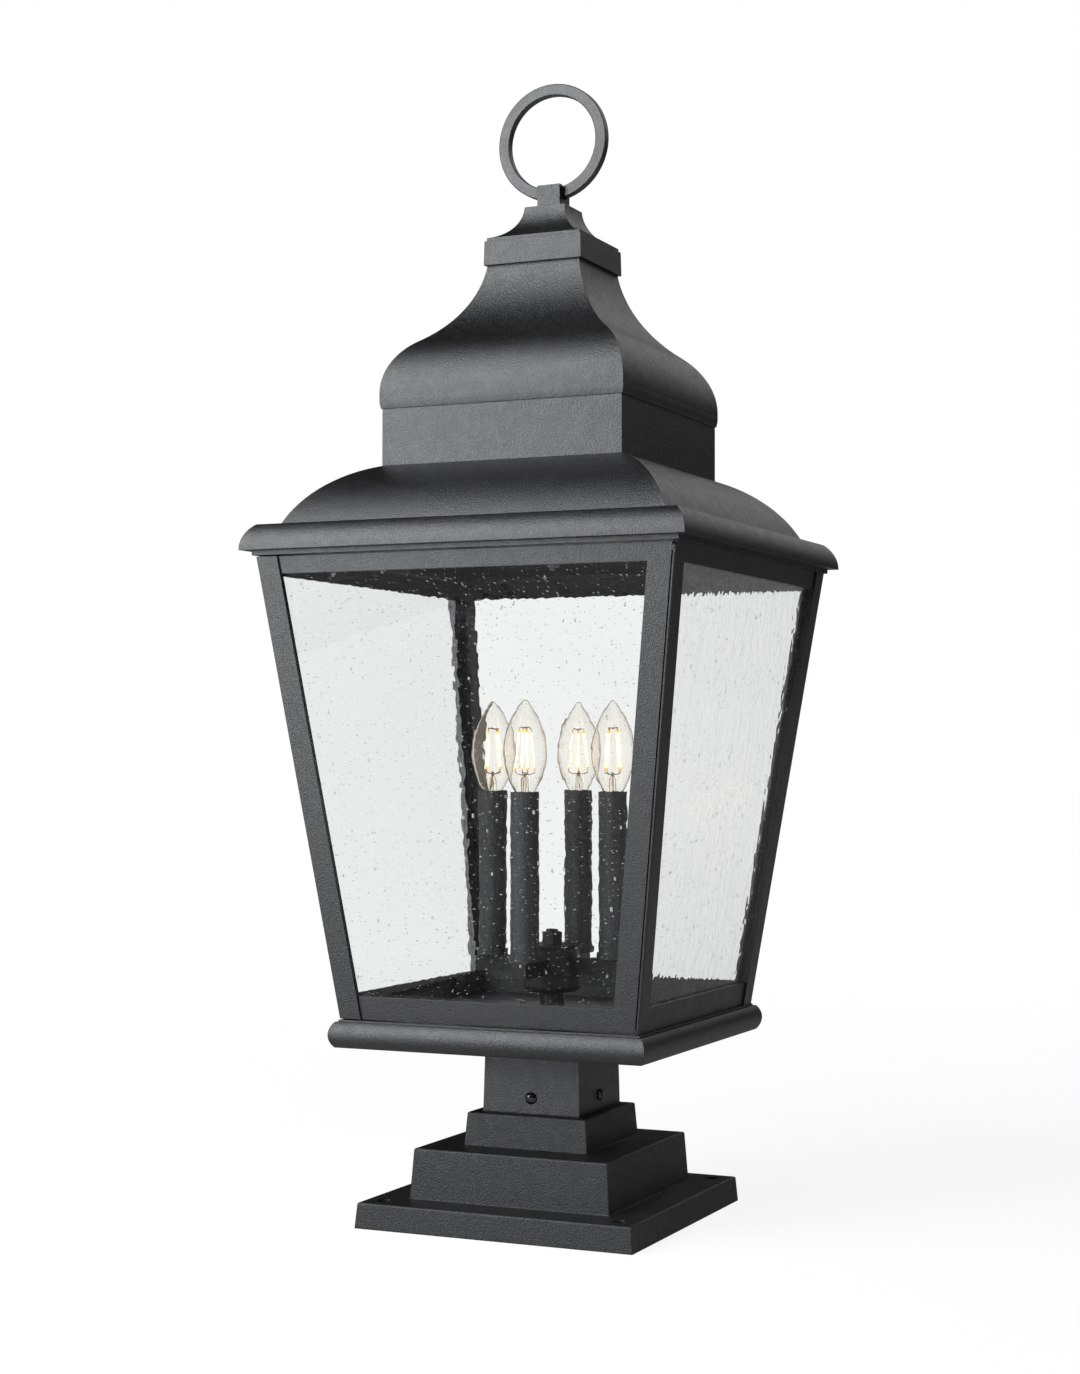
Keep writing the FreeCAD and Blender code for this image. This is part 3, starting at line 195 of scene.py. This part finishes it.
def seeded_glass(name, across, outward, turned_out):
    """Drawn sheet glass with ripples and seeds on its outer face, the seeds' glints painted as pale specks.

    Across is the panel's level direction, and outward the axis that it faces along, or against.
    """
    material, tree, output = new_material(name)
    coordinates = tree.nodes.new("ShaderNodeTexCoord")
    parts = add(tree, "ShaderNodeSeparateXYZ", {"Vector": coordinates.outputs["Object"]})
    facing = add(tree, "ShaderNodeSeparateXYZ", {"Vector": coordinates.outputs["Normal"]}).outputs[outward]
    outer = remap(tree, facing, 0.4 * turned_out, 0.6 * turned_out)
    flat = add(tree, "ShaderNodeCombineXYZ", {0: parts.outputs[across], 1: parts.outputs["Z"]}).outputs[0]

    def seeds(columns, rows, reach, share, shift):
        """Seeds on a jittered grid: how deep a point is inside its nearest one, from 0 to 1.

        Columns and rows are counted along a metre, and share is how much of the grid holds a seed.
        """
        scaled = add(tree, "ShaderNodeMapping", {
            "Vector": flat, "Location": (shift, shift, 0.0), "Scale": (columns, rows, 1.0),
        }).outputs[0]
        cells = add(tree, "ShaderNodeTexVoronoi", {"Vector": scaled, "Scale": 1.0},
                    voronoi_dimensions="2D", feature="F1")
        chosen = add(tree, "ShaderNodeSeparateColor", {"Color": cells.outputs["Color"]})
        size = remap(tree, chosen.outputs[1], 0.0, 1.0, to_low=reach * 0.4, to_high=reach)
        depth = math_node(tree, "SUBTRACT", 1.0, math_node(tree, "DIVIDE", cells.outputs["Distance"], size))
        kept = math_node(tree, "LESS_THAN", chosen.outputs[0], share)
        return math_node(tree, "MULTIPLY", remap(tree, depth, 0.0, 0.5), kept)

    dots = seeds(columns=120.0, rows=105.0, reach=0.055, share=0.45, shift=0.0)
    dashes = seeds(columns=100.0, rows=26.0, reach=0.05, share=0.45, shift=3.3)
    specks = seeds(columns=250.0, rows=220.0, reach=0.08, share=0.3, shift=7.7)
    seed = math_node(tree, "MAXIMUM", math_node(tree, "MAXIMUM", dots, dashes), specks)
    seed = math_node(tree, "MULTIPLY", seed, outer)
    upright = add(tree, "ShaderNodeMapping", {"Vector": flat, "Scale": (1.0, 0.45, 1.0)}).outputs[0]
    broad = noise(tree, upright, BROAD_RIPPLES, detail=1.0)
    narrow = noise(tree, flat, NARROW_RIPPLES, detail=1.0)
    ripple = math_node(tree, "ADD", broad, math_node(tree, "MULTIPLY", narrow, NARROW_SHARE))
    ripple = math_node(tree, "MULTIPLY", ripple, outer)
    waves = add(tree, "ShaderNodeBump", {"Strength": 1.0, "Distance": RIPPLE_HEIGHT, "Height": ripple})
    dimple = add(tree, "ShaderNodeBump", {
        "Strength": 1.0, "Distance": SEED_HEIGHT, "Height": seed, "Normal": waves.outputs[0],
    })
    # Where there is a seed the pane lets less light through and shows its pale colour instead: painted glints that
    # stand in for the bubbles' own reflections.
    painted_seed_glints = math_node(tree, "SUBTRACT", 1.0, math_node(tree, "MULTIPLY", seed, 0.5))
    pane = add(tree, "ShaderNodeBsdfPrincipled", {
        "Base Color": (0.982, 0.991, 0.985, 1.0), "Roughness": 0.0, "IOR": SHEET_GLASS_IOR,
        "Transmission Weight": painted_seed_glints, "Normal": dimple.outputs[0],
    })
    let_lamps_through(tree, output, pane, (0.9, 0.905, 0.9, 1.0))
    return material


def blown_glass(name):
    """Thin clear bulb glass with faint waves, a painted amber shade towards its rim for the darker reflections
    along its outline, and a painted warm glow for the sticks' light in it.
    """
    material, tree, output = new_material(name)
    wave = noise(tree, place_of(tree), per_metre=60.0, detail=1.0)
    clear_tint = mix_colour(tree, remap(tree, wave, 0.3, 0.7), grey(1.0), (1.0, 0.985, 0.955, 1.0))
    # Towards the rim the tint turns a darker amber: painted shade that stands in for the darker reflections along
    # the bulb's outline.
    rim = add(tree, "ShaderNodeLayerWeight", {"Blend": 0.35})
    painted_rim_shade = remap(tree, rim.outputs["Facing"], 0.35, 1.0)
    tint = mix_colour(tree, painted_rim_shade, clear_tint, (0.84, 0.69, 0.48, 1.0))
    bump = add(tree, "ShaderNodeBump", {"Strength": 0.3, "Distance": 0.03 * MM, "Height": wave})
    # The faint emission is a painted glow: the glass gives no light itself, and it stands in for the lit sticks'
    # light in it.
    skin = add(tree, "ShaderNodeBsdfPrincipled", {
        "Base Color": tint, "Roughness": 0.0, "IOR": BULB_GLASS_IOR, "Transmission Weight": 1.0,
        "Normal": bump.outputs[0], "Emission Color": (1.0, 0.84, 0.56, 1.0), "Emission Strength": 0.022,
    })
    let_lamps_through(tree, output, skin, (0.97, 0.96, 0.93, 1.0))
    return material


def glowing(name, colour, strength):
    """A lit phosphor stick, a little uneven along its length."""
    material, tree, output = new_material(name)
    wave = noise(tree, place_of(tree), per_metre=700.0, detail=2.0)
    paler = tuple(0.75 * level + 0.25 for level in colour)
    glow = mix_colour(tree, remap(tree, wave, 0.35, 0.65), colour, paler)
    shader = add(tree, "ShaderNodeBsdfPrincipled", {
        "Base Color": glow, "Roughness": 0.5, "Emission Color": glow, "Emission Strength": strength,
    })
    tree.links.new(shader.outputs[0], output.inputs[0])
    return material


def moulded_plastic(name, colour, other, roughness):
    """Matt plastic, or the like of it, with a fine mottle of two colours."""
    material, tree, output = new_material(name)
    mottle = noise(tree, place_of(tree), MOTTLES, detail=3.0)
    tint = mix_colour(tree, mottle, colour, other)
    rough = remap(tree, mottle, 0.3, 0.7, to_low=roughness - 0.05, to_high=roughness + 0.08)
    bump = add(tree, "ShaderNodeBump", {"Strength": 0.3, "Distance": 0.03 * MM, "Height": mottle})
    shader = add(tree, "ShaderNodeBsdfPrincipled", {
        "Base Color": tint, "Roughness": rough, "Normal": bump.outputs[0],
    })
    tree.links.new(shader.outputs[0], output.inputs[0])
    return material


def use(material, *names):
    """Gives the material to the whole of each named sub-part."""
    for name in names:
        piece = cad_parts[name]
        if not piece.material_slots:
            piece.data.materials.append(material)
        for held in piece.material_slots:
            held.link = "OBJECT"
            held.material = material


def dress_frame():
    """Coats everything in charcoal first, and then the sub-parts that look different."""
    use(powder_coat("charcoal_coat", grey(0.001), grey(0.02), roughness=0.35, grain_height=0.36 * MM),
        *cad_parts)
    use(powder_coat("base_coat", grey(0.001), grey(0.014), roughness=0.47, grain_height=0.35 * MM,
                    edge_radius=1.6 * MM, gloss=0.78, grains=700.0),
        "pier_base", "post_stub")
    use(powder_coat("ring_coat", grey(0.01), grey(0.026), roughness=0.37, grain_height=0.12 * MM,
                    edge_radius=0.15 * MM),
        "finial_ring")
    # This coat is much lighter than the charcoal coat: painted light that stands in for more light reaching the
    # sleeves and cups inside the glass.
    use(powder_coat("candle_coat_painted_light", grey(0.02), grey(0.075), roughness=0.42, grain_height=0.25 * MM),
        "candle_cups", "candle_sleeve_1", "candle_sleeve_2", "candle_sleeve_3", "candle_sleeve_4")
    use(powder_coat("gloss_coat", grey(0.004), grey(0.008), roughness=0.12, grain_height=0.01 * MM,
                    edge_radius=0.2 * MM),
        "clamp_screws")
    use(bare_metal("plated_steel", grey(0.5), grey(0.36), roughness=0.32),
        "floor_screws", "roof_rod", "rod_nuts", "roof_crossbar", "hinge_pin")
    use(moulded_plastic("magnet", grey(0.02), grey(0.03), roughness=0.4), "door_catch")
    use(moulded_plastic("socket_plastic", grey(0.6), grey(0.5), roughness=0.45), "lamp_sockets")
    for side, across, outward, turned_out in (
        ("door", "X", "Y", -1.0), ("right", "Y", "X", 1.0), ("back", "X", "Y", 1.0), ("left", "Y", "X", -1.0),
    ):
        use(seeded_glass(f"{side}_seeded_glass", across, outward, turned_out), f"{side}_glass")
    use(bare_metal("lamp_cap", (0.75, 0.66, 0.45, 1.0), (0.6, 0.52, 0.36, 1.0), roughness=0.25),
        "bulb_base_1", "bulb_base_2", "bulb_base_3", "bulb_base_4")


# Bulbs, in millimetres above the foot of the glass

# The glass from its neck to its tip: radius and height
GLASS_OUTLINE = (
    (5.9, 0.0), (6.6, 3.2), (8.6, 7.0), (12.9, 15.5), (15.7, 24.5), (17.4, 35.0), (17.1, 45.0),
    (14.8, 55.0), (10.9, 64.5), (6.9, 71.6), (3.9, 76.0), (2.3, 78.3), (1.0, 79.4), (0.0, 79.7),
)
GLASS_WALL = 0.5
GLASS_SIDES = 72
# The stem that holds the wires, in the same way
STEM_OUTLINE = ((4.6, 0.3), (3.6, 3.0), (3.0, 7.0), (2.7, 13.0), (2.5, 16.5), (1.4, 18.4), (0.0, 19.0))
STEM_WALL = 0.45
STEM_SIDES = 32
# Each stick leans in from its foot to its top, and both its ends have another colour
STICK_FOOT = (7.9, 23.5)
STICK_TOP = (4.7, 55.0)
STICK_RADIUS = 0.8
STICK_END = 1.9
STICK_SIDES = 12
LEAD_RADIUS = 0.32
LEAD_SIDES = 8
# The wires meet in a knot on the stem, and in a ring above the sticks
KNOT_HEIGHT = 19.6
CROWN_HEIGHT = 57.2
CROWN_PARTS = 24
# The coil round the knot: its height, its steps, and how many of them make a turn
COIL_HEIGHT = 3.4
COIL_STEPS = 36
COIL_TURN = 14
# How far round each bulb happens to be screwed in, in degrees
BULB_TURNS = (59.0, 20.0, 74.0, 41.0)
# The material slots of the piece inside a bulb
LIT_SLOT = 0
END_SLOT = 1
LEAD_SLOT = 2
# A direction that no wire runs along, to turn the wires' rings by
STEADY = Vector((0.31, 0.17, 0.93))


def between(before, first, second, after, t):
    """Where a smooth curve through four values is, t of the way from the first to the second."""
    return 0.5 * (2 * first + (second - before) * t
                  + (2 * before - 5 * first + 4 * second - after) * t ** 2
                  + (3 * first - before - 3 * second + after) * t ** 3)


def smooth_curve(points, steps):
    """More points on a smooth curve through the given ones."""
    ends = [points[0], *points, points[-1]]
    curve = []
    for four in zip(ends, ends[1:], ends[2:], ends[3:]):
        for step in range(steps):
            curve.append(tuple(between(*values, step / steps) for values in zip(*four)))
    return curve + [points[-1]]


def ring_at(shape, middle, radius, height, sides):
    """Points round the vertical line through the middle. Radius and height are in millimetres."""
    turns = (math.tau * side / sides for side in range(sides))
    return [
        shape.verts.new(middle + MM * Vector((radius * math.cos(turn), radius * math.sin(turn), height)))
        for turn in turns
    ]


def spin(shape, outline, middle, sides):
    """Turns an outline about the vertical line through the middle. It may end on the line."""
    rings = []
    for radius, height in outline:
        if radius < 0.01:
            rings.append([shape.verts.new(middle + UP * height * MM)])
        else:
            rings.append(ring_at(shape, middle, radius, height, sides))
    made = []
    for low, high in zip(rings, rings[1:]):
        for side in range(sides):
            after = (side + 1) % sides
            if len(high) == 1:
                made.append(shape.faces.new([low[side], low[after], high[0]]))
            else:
                made.append(shape.faces.new([low[side], low[after], high[after], high[side]]))
    return rings, made


def shell(shape, outline, wall, middle, sides):
    """A blown shell, open at its foot, from its outer outline and its wall."""
    inner_top = outline[-1][1] - wall * 1.4
    inner = [(max(radius - wall, 0.0), height) for radius, height in outline[:-1]]
    inner = [(radius, min(height, inner_top)) for radius, height in inner if radius > 0.3]
    inner.append((0.0, inner_top))
    outer_rings, _ = spin(shape, outline, middle, sides)
    inner_rings, lining = spin(shape, inner, middle, sides)
    for face in lining:
        face.normal_flip()
    for side in range(sides):
        after = (side + 1) % sides
        shape.faces.new([outer_rings[0][after], outer_rings[0][side], inner_rings[0][side], inner_rings[0][after]])


def wire(shape, points, radius, sides, slot, closed=False):
    """A round wire along the points, with flat ends where it isn't closed."""
    rings = []
    count = len(points)
    for index, point in enumerate(points):
        before = points[index - 1] if index or closed else point
        after = points[(index + 1) % count] if index + 1 < count or closed else point
        along = (after - before).normalized()
        across = along.cross(STEADY).normalized()
        other = along.cross(across)
        rings.append([
            shape.verts.new(point + radius * (across * math.cos(turn) + other * math.sin(turn)))
            for turn in (math.tau * side / sides for side in range(sides))
        ])
    pairs = list(zip(rings, rings[1:])) + ([(rings[-1], rings[0])] if closed else [])
    made = []
    for low, high in pairs:
        for side in range(sides):
            after = (side + 1) % sides
            made.append(shape.faces.new([low[side], low[after], high[after], high[side]]))
    if not closed:
        made.append(shape.faces.new(rings[0][::-1]))
        made.append(shape.faces.new(rings[-1]))
    for face in made:
        face.material_index = slot


def finish_piece(name, shape, materials, body, slot, *replaced):
    """Makes the object, smooth, riding on its body."""
    bmesh.ops.recalc_face_normals(shape, faces=shape.faces)
    mesh = bpy.data.meshes.new(name)
    shape.to_mesh(mesh)
    shape.free()
    for polygon in mesh.polygons:
        polygon.use_smooth = True
    for material in materials:
        mesh.materials.append(material)
    piece = bpy.data.objects.new(name, mesh)
    bpy.context.scene.collection.objects.link(piece)
    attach(piece, body)
    if replaced:
        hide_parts(*replaced)


def lit_bulb(number, skin, lit, phosphor, lead):
    """One bulb: its blown glass, four lit sticks on their wires, and the glass stem that holds them."""
    low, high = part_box(f"bulb_glass_{number}")
    middle = Vector(((low[0] + high[0]) / 2, (low[1] + high[1]) / 2, low[2]))
    body = f"bulb_{number}"
    glass = bmesh.new()
    shell(glass, smooth_curve(GLASS_OUTLINE, 5), GLASS_WALL, middle, GLASS_SIDES)
    finish_piece(f"bulb_{number}_blown_glass", glass, [skin], body, "bulb_glass", f"bulb_glass_{number}")

    inside = bmesh.new()

    def at(radius, height, turn):
        return middle + MM * Vector((radius * math.cos(turn), radius * math.sin(turn), height))

    def lead_wire(points, closed=False):
        wire(inside, points, LEAD_RADIUS * MM, LEAD_SIDES, LEAD_SLOT, closed)

    knot = at(0.0, KNOT_HEIGHT, 0.0)
    end_radius = STICK_RADIUS * MM + 0.25 * STICK_RADIUS * MM
    for quarter in range(4):
        turn = math.radians(BULB_TURNS[number - 1] + 90.0 * quarter)
        foot = at(*STICK_FOOT, turn)
        top = at(*STICK_TOP, turn)
        step = (top - foot).normalized() * STICK_END * MM
        wire(inside, [foot + step, top - step], STICK_RADIUS * MM, STICK_SIDES, LIT_SLOT)
        wire(inside, [foot, foot + step], end_radius, STICK_SIDES, END_SLOT)
        wire(inside, [top - step, top], end_radius, STICK_SIDES, END_SLOT)
        elbow = at(STICK_FOOT[0] * 0.98, KNOT_HEIGHT + 1.6, turn)
        bend = at(STICK_FOOT[0] * 0.5, KNOT_HEIGHT + 0.2, turn + 0.15)
        lead_wire([foot, elbow, bend, knot])
        crown = at(STICK_TOP[0] * 0.8, CROWN_HEIGHT, turn + 0.2)
        lead_wire([top, top + step * 0.5, crown, at(0.4, CROWN_HEIGHT - 0.5, turn)])
    lead_wire([
        at(STICK_TOP[0] * 0.85, CROWN_HEIGHT, math.tau * part / CROWN_PARTS) for part in range(CROWN_PARTS)
    ], closed=True)
    turn = math.radians(BULB_TURNS[number - 1] + 25.0)
    for side in (-1.0, 1.0):
        lead_route = [
            at(side * 1.9, 0.6, turn), at(side * 1.5, 7.0, turn + 0.3), at(side * 1.1, 13.0, turn),
            at(side * 0.7, 17.0, turn - 0.3), knot,
        ]
        lead_wire([Vector(point) for point in smooth_curve(lead_route, 4)])
    lead_wire([
        at(1.5, KNOT_HEIGHT - 1.6 + COIL_HEIGHT * part / COIL_STEPS, math.tau * part / COIL_TURN)
        for part in range(COIL_STEPS + 1)
    ])
    finish_piece(f"bulb_{number}_lit_sticks", inside, [lit, phosphor, lead], body, "filament",
                 f"bulb_filaments_{number}")

    stem = bmesh.new()
    shell(stem, smooth_curve(STEM_OUTLINE, 3), STEM_WALL, middle, STEM_SIDES)
    finish_piece(f"bulb_{number}_glass_stem", stem, [skin], body, "bulb_glass")


def make_bulbs():
    skin = blown_glass("bulb_skin")
    lit = glowing("lit_stick", (1.0, 0.86, 0.54, 1.0), strength=1.4)
    phosphor = glowing("stick_end", (1.0, 0.52, 0.04, 1.0), strength=0.85)
    lead = bare_metal("lead_wire", (0.5, 0.33, 0.14, 1.0), (0.33, 0.2, 0.09, 1.0), roughness=0.3)
    for number in range(1, 5):
        lit_bulb(number, skin, lit, phosphor, lead)


# Stage. Every azimuth is 0 in front of the door, and grows to the right, in degrees.

VIEW_AZIMUTH = math.radians(24.0)
VIEW_DISTANCE = 1.907
VIEW_HEIGHT = 0.3726
VIEW_PAN = math.radians(-0.315)
VIEW_PITCH = math.radians(1.655)
VIEW_ROLL = math.radians(0.08)
FOCAL_PIXELS = 2336.0
IMAGE_HEIGHT = 1374
SENSOR_MM = 36.0

# The tall white screen behind the object that metal reflects: the azimuth of its middle, how far to each
# side of that it ends, and how far it has its full strength
SCREEN = (172.0, 24.0, 15.0)
SCREEN_STRENGTH = 0.74
# A dimmer wall to the right of the object, in the same way, which shows only in its sides seen from there
WALL = (78.0, 46.0, 26.0)
WALL_FOOT = 0.25
WALL_TOP = 0.6

FLOOR_SHEEN = 0.11
# How far from the object the floor starts to pale, and where it is as pale as the background, in metres
FLOOR_NEAR = 0.5
FLOOR_FAR = 2.5

COOL_WHITE = (0.945, 0.965, 1.0)


def set_camera():
    """The photograph's viewpoint, with its level line kept level."""
    ahead = Vector((-math.sin(VIEW_AZIMUTH), math.cos(VIEW_AZIMUTH), 0.0))
    right = Vector((math.cos(VIEW_AZIMUTH), math.sin(VIEW_AZIMUTH), 0.0))
    eye = UP * VIEW_HEIGHT - ahead * VIEW_DISTANCE
    level = ahead * math.cos(VIEW_PAN) + right * math.sin(VIEW_PAN)
    forward = level * math.cos(VIEW_PITCH) + UP * math.sin(VIEW_PITCH)
    side = forward.cross(UP).normalized()
    above = side.cross(forward)
    side, above = (side * math.cos(VIEW_ROLL) + above * math.sin(VIEW_ROLL),
                   above * math.cos(VIEW_ROLL) - side * math.sin(VIEW_ROLL))
    camera = bpy.data.objects.new("camera", bpy.data.cameras.new("camera"))
    camera.matrix_world = Matrix.Translation(eye) @ Matrix((side, above, -forward)).transposed().to_4x4()
    camera.data.sensor_fit = "VERTICAL"
    camera.data.sensor_height = SENSOR_MM
    camera.data.lens = FOCAL_PIXELS * SENSOR_MM / IMAGE_HEIGHT
    camera.data.clip_start = 0.05
    camera.data.clip_end = 60.0
    bpy.context.scene.collection.objects.link(camera)
    bpy.context.scene.camera = camera


def ray_kinds(tree):
    """Which rays see the background, straight or through glass, and which come from a glossy surface.

    The last value is 1 for the sharp reflections of glass, also after they leave through another pane.
    """
    path = tree.nodes.new("ShaderNodeLightPath").outputs
    bounced = math_node(tree, "ADD", path["Diffuse Depth"], path["Glossy Depth"])
    straight = math_node(tree, "LESS_THAN", bounced, 0.5)
    through = math_node(tree, "MULTIPLY", path["Is Transmission Ray"], straight)
    seen = math_node(tree, "MAXIMUM", path["Is Camera Ray"], through)
    glossy = math_node(tree, "GREATER_THAN", path["Glossy Depth"], 0.5)
    sharp = math_node(tree, "MULTIPLY", glossy, path["Is Singular Ray"])
    return seen, glossy, sharp


def arc(tree, direction, azimuth, edge, full):
    """1 in the directions about an azimuth, and 0 beyond an edge. All are in degrees."""
    turn = math.radians(azimuth)
    middle = (math.sin(turn), -math.cos(turn), 0.0)
    level = add(tree, "ShaderNodeVectorMath", {0: direction, 1: (1.0, 1.0, 0.0)}, operation="MULTIPLY")
    level = add(tree, "ShaderNodeVectorMath", {0: level.outputs[0]}, operation="NORMALIZE")
    facing = add(tree, "ShaderNodeVectorMath", {0: level.outputs[0], 1: middle}, operation="DOT_PRODUCT")
    return remap(tree, facing.outputs["Value"], math.cos(math.radians(edge)), math.cos(math.radians(full)))


def set_world(ambient, sheen, sharp_sheen):
    """White where it is seen. Metal reflects a dim room with a white screen in it, and glass an even grey."""
    world = bpy.data.worlds.new("studio")
    bpy.context.scene.world = world
    world.use_nodes = True
    tree = world.node_tree
    tree.nodes.clear()
    output = tree.nodes.new("ShaderNodeOutputWorld")
    direction = tree.nodes.new("ShaderNodeTexCoord").outputs["Generated"]
    height = add(tree, "ShaderNodeSeparateXYZ", {"Vector": direction}).outputs["Z"]
    screen = math_node(tree, "MULTIPLY", arc(tree, direction, *SCREEN), remap(tree, height, 0.75, 0.6))
    screen = math_node(tree, "MULTIPLY", screen, remap(tree, height, 0.17, 0.33))
    seen, glossy, sharp = ray_kinds(tree)
    room = remap(tree, screen, 0.0, 1.0, to_low=sheen, to_high=SCREEN_STRENGTH)
    wall = remap(tree, height, -0.2, 0.7, to_low=WALL_FOOT, to_high=WALL_TOP)
    wall = math_node(tree, "MULTIPLY", arc(tree, direction, *WALL), wall)
    room = math_node(tree, "ADD", room, wall)
    room = remap(tree, sharp, 0.0, 1.0, to_low=room, to_high=sharp_sheen)
    soft = add(tree, "ShaderNodeBackground", {"Color": grey(1.0), "Strength": ambient})
    mirrored = add(tree, "ShaderNodeBackground", {"Color": grey(1.0), "Strength": room})
    white = add(tree, "ShaderNodeBackground", {"Color": grey(1.0), "Strength": 1.0})
    lit = add(tree, "ShaderNodeMixShader", {0: glossy, 1: soft.outputs[0], 2: mirrored.outputs[0]})
    both = add(tree, "ShaderNodeMixShader", {0: seen, 1: lit.outputs[0], 2: white.outputs[0]})
    tree.links.new(both.outputs[0], output.inputs[0])


def floor_material(shade, lift, mirrored, sharp_sheen):
    """Pale floor. Where it is seen it is lifted to white, and it keeps the object's shadow.

    Mirrored is the share of its brightness that metal reflects. Glass reflects the level given last.
    """
    material, tree, output = new_material("floor")
    seen, glossy, sharp = ray_kinds(tree)
    left = remap(tree, glossy, 0.0, 1.0, to_low=1.0, to_high=mirrored)
    left = math_node(tree, "MULTIPLY", left, math_node(tree, "SUBTRACT", 1.0, sharp))
    grain = noise(tree, place_of(tree), per_metre=40.0, detail=3.0)
    colour = mix_colour(tree, grain, grey(shade), grey(shade * 0.98))
    colour = mix_colour(tree, math_node(tree, "MULTIPLY", seen, 0.7), colour, grey(0.0))
    colour = mix_colour(tree, left, grey(0.0), colour)
    matt = add(tree, "ShaderNodeBsdfDiffuse", {"Color": colour})
    away = add(tree, "ShaderNodeVectorMath", {0: place_of(tree)}, operation="LENGTH").outputs["Value"]
    lifted = remap(tree, away, FLOOR_NEAR, FLOOR_FAR, to_low=lift, to_high=0.99)
    lifted = math_node(tree, "MULTIPLY", seen, lifted)
    in_glass = remap(tree, away, FLOOR_NEAR, FLOOR_FAR, to_low=0.08, to_high=sharp_sheen)
    reflected = remap(tree, sharp, 0.0, 1.0, to_low=FLOOR_SHEEN, to_high=in_glass)
    reflected = math_node(tree, "MULTIPLY", glossy, reflected)
    shown = math_node(tree, "ADD", lifted, reflected)
    glow = add(tree, "ShaderNodeEmission", {"Color": grey(1.0), "Strength": shown})
    both = add(tree, "ShaderNodeAddShader", {0: matt.outputs[0], 1: glow.outputs[0]})
    tree.links.new(both.outputs[0], output.inputs[0])
    return material


def set_floor():
    mesh = bpy.data.meshes.new("floor")
    shape = bmesh.new()
    bmesh.ops.create_circle(shape, cap_ends=True, segments=96, radius=25.0)
    shape.to_mesh(mesh)
    shape.free()
    floor = bpy.data.objects.new("floor", mesh)
    floor.location.z = -0.2 * MM
    mesh.materials.append(floor_material(shade=0.7, lift=0.9, mirrored=0.6, sharp_sheen=0.36))
    bpy.context.scene.collection.objects.link(floor)


def softbox(name, width, height, watts, azimuth, elevation, distance, aim):
    """An area lamp at a direction from the aim point."""
    lamp = bpy.data.lights.new(name, "AREA")
    lamp.shape = "RECTANGLE"
    lamp.size = width
    lamp.size_y = height
    lamp.energy = watts
    lamp.color = COOL_WHITE
    turn = math.radians(azimuth)
    rise = math.radians(elevation)
    outward = Vector((math.sin(turn) * math.cos(rise), -math.cos(turn) * math.cos(rise), math.sin(rise)))
    holder = bpy.data.objects.new(name, lamp)
    holder.location = aim + outward * distance
    holder.rotation_euler = outward.to_track_quat("Z", "Y").to_euler()
    holder.visible_transmission = False
    holder.visible_camera = False
    bpy.context.scene.collection.objects.link(holder)


def bright_card(name, side, azimuth, distance, level, strength):
    """A glowing square sheet that lies face up on the floor, and which glass doesn't mirror."""
    material, tree, output = new_material(name)
    sharp = ray_kinds(tree)[2]
    upper = math_node(tree, "SUBTRACT", 1.0, tree.nodes.new("ShaderNodeNewGeometry").outputs["Backfacing"])
    shown = math_node(tree, "MULTIPLY", upper, math_node(tree, "SUBTRACT", 1.0, sharp))
    glow = add(tree, "ShaderNodeEmission", {
        "Color": (*COOL_WHITE, 1.0), "Strength": math_node(tree, "MULTIPLY", shown, strength),
    })
    tree.links.new(glow.outputs[0], output.inputs[0])
    mesh = bpy.data.meshes.new(name)
    shape = bmesh.new()
    bmesh.ops.create_grid(shape, x_segments=1, y_segments=1, size=side / 2)
    shape.to_mesh(mesh)
    shape.free()
    mesh.materials.append(material)
    card = bpy.data.objects.new(name, mesh)
    turn = math.radians(azimuth)
    card.location = (math.sin(turn) * distance, -math.cos(turn) * distance, level)
    card.visible_camera = False
    card.visible_transmission = False
    card.visible_shadow = False
    bpy.context.scene.collection.objects.link(card)


def set_lamps():
    softbox("key", width=1.5, height=2.6, watts=58.0, azimuth=-34.0, elevation=25.0, distance=2.2,
            aim=Vector((0.0, 0.0, 0.45)))
    bright_card("floor_card", side=1.4, azimuth=-26.0, distance=1.9, level=5.0 * MM, strength=2.65)


dress_frame()
make_bulbs()
set_world(ambient=0.06, sheen=0.02, sharp_sheen=0.3)
set_floor()
set_lamps()
set_camera()
bpy.context.scene.view_settings.view_transform = "Standard"
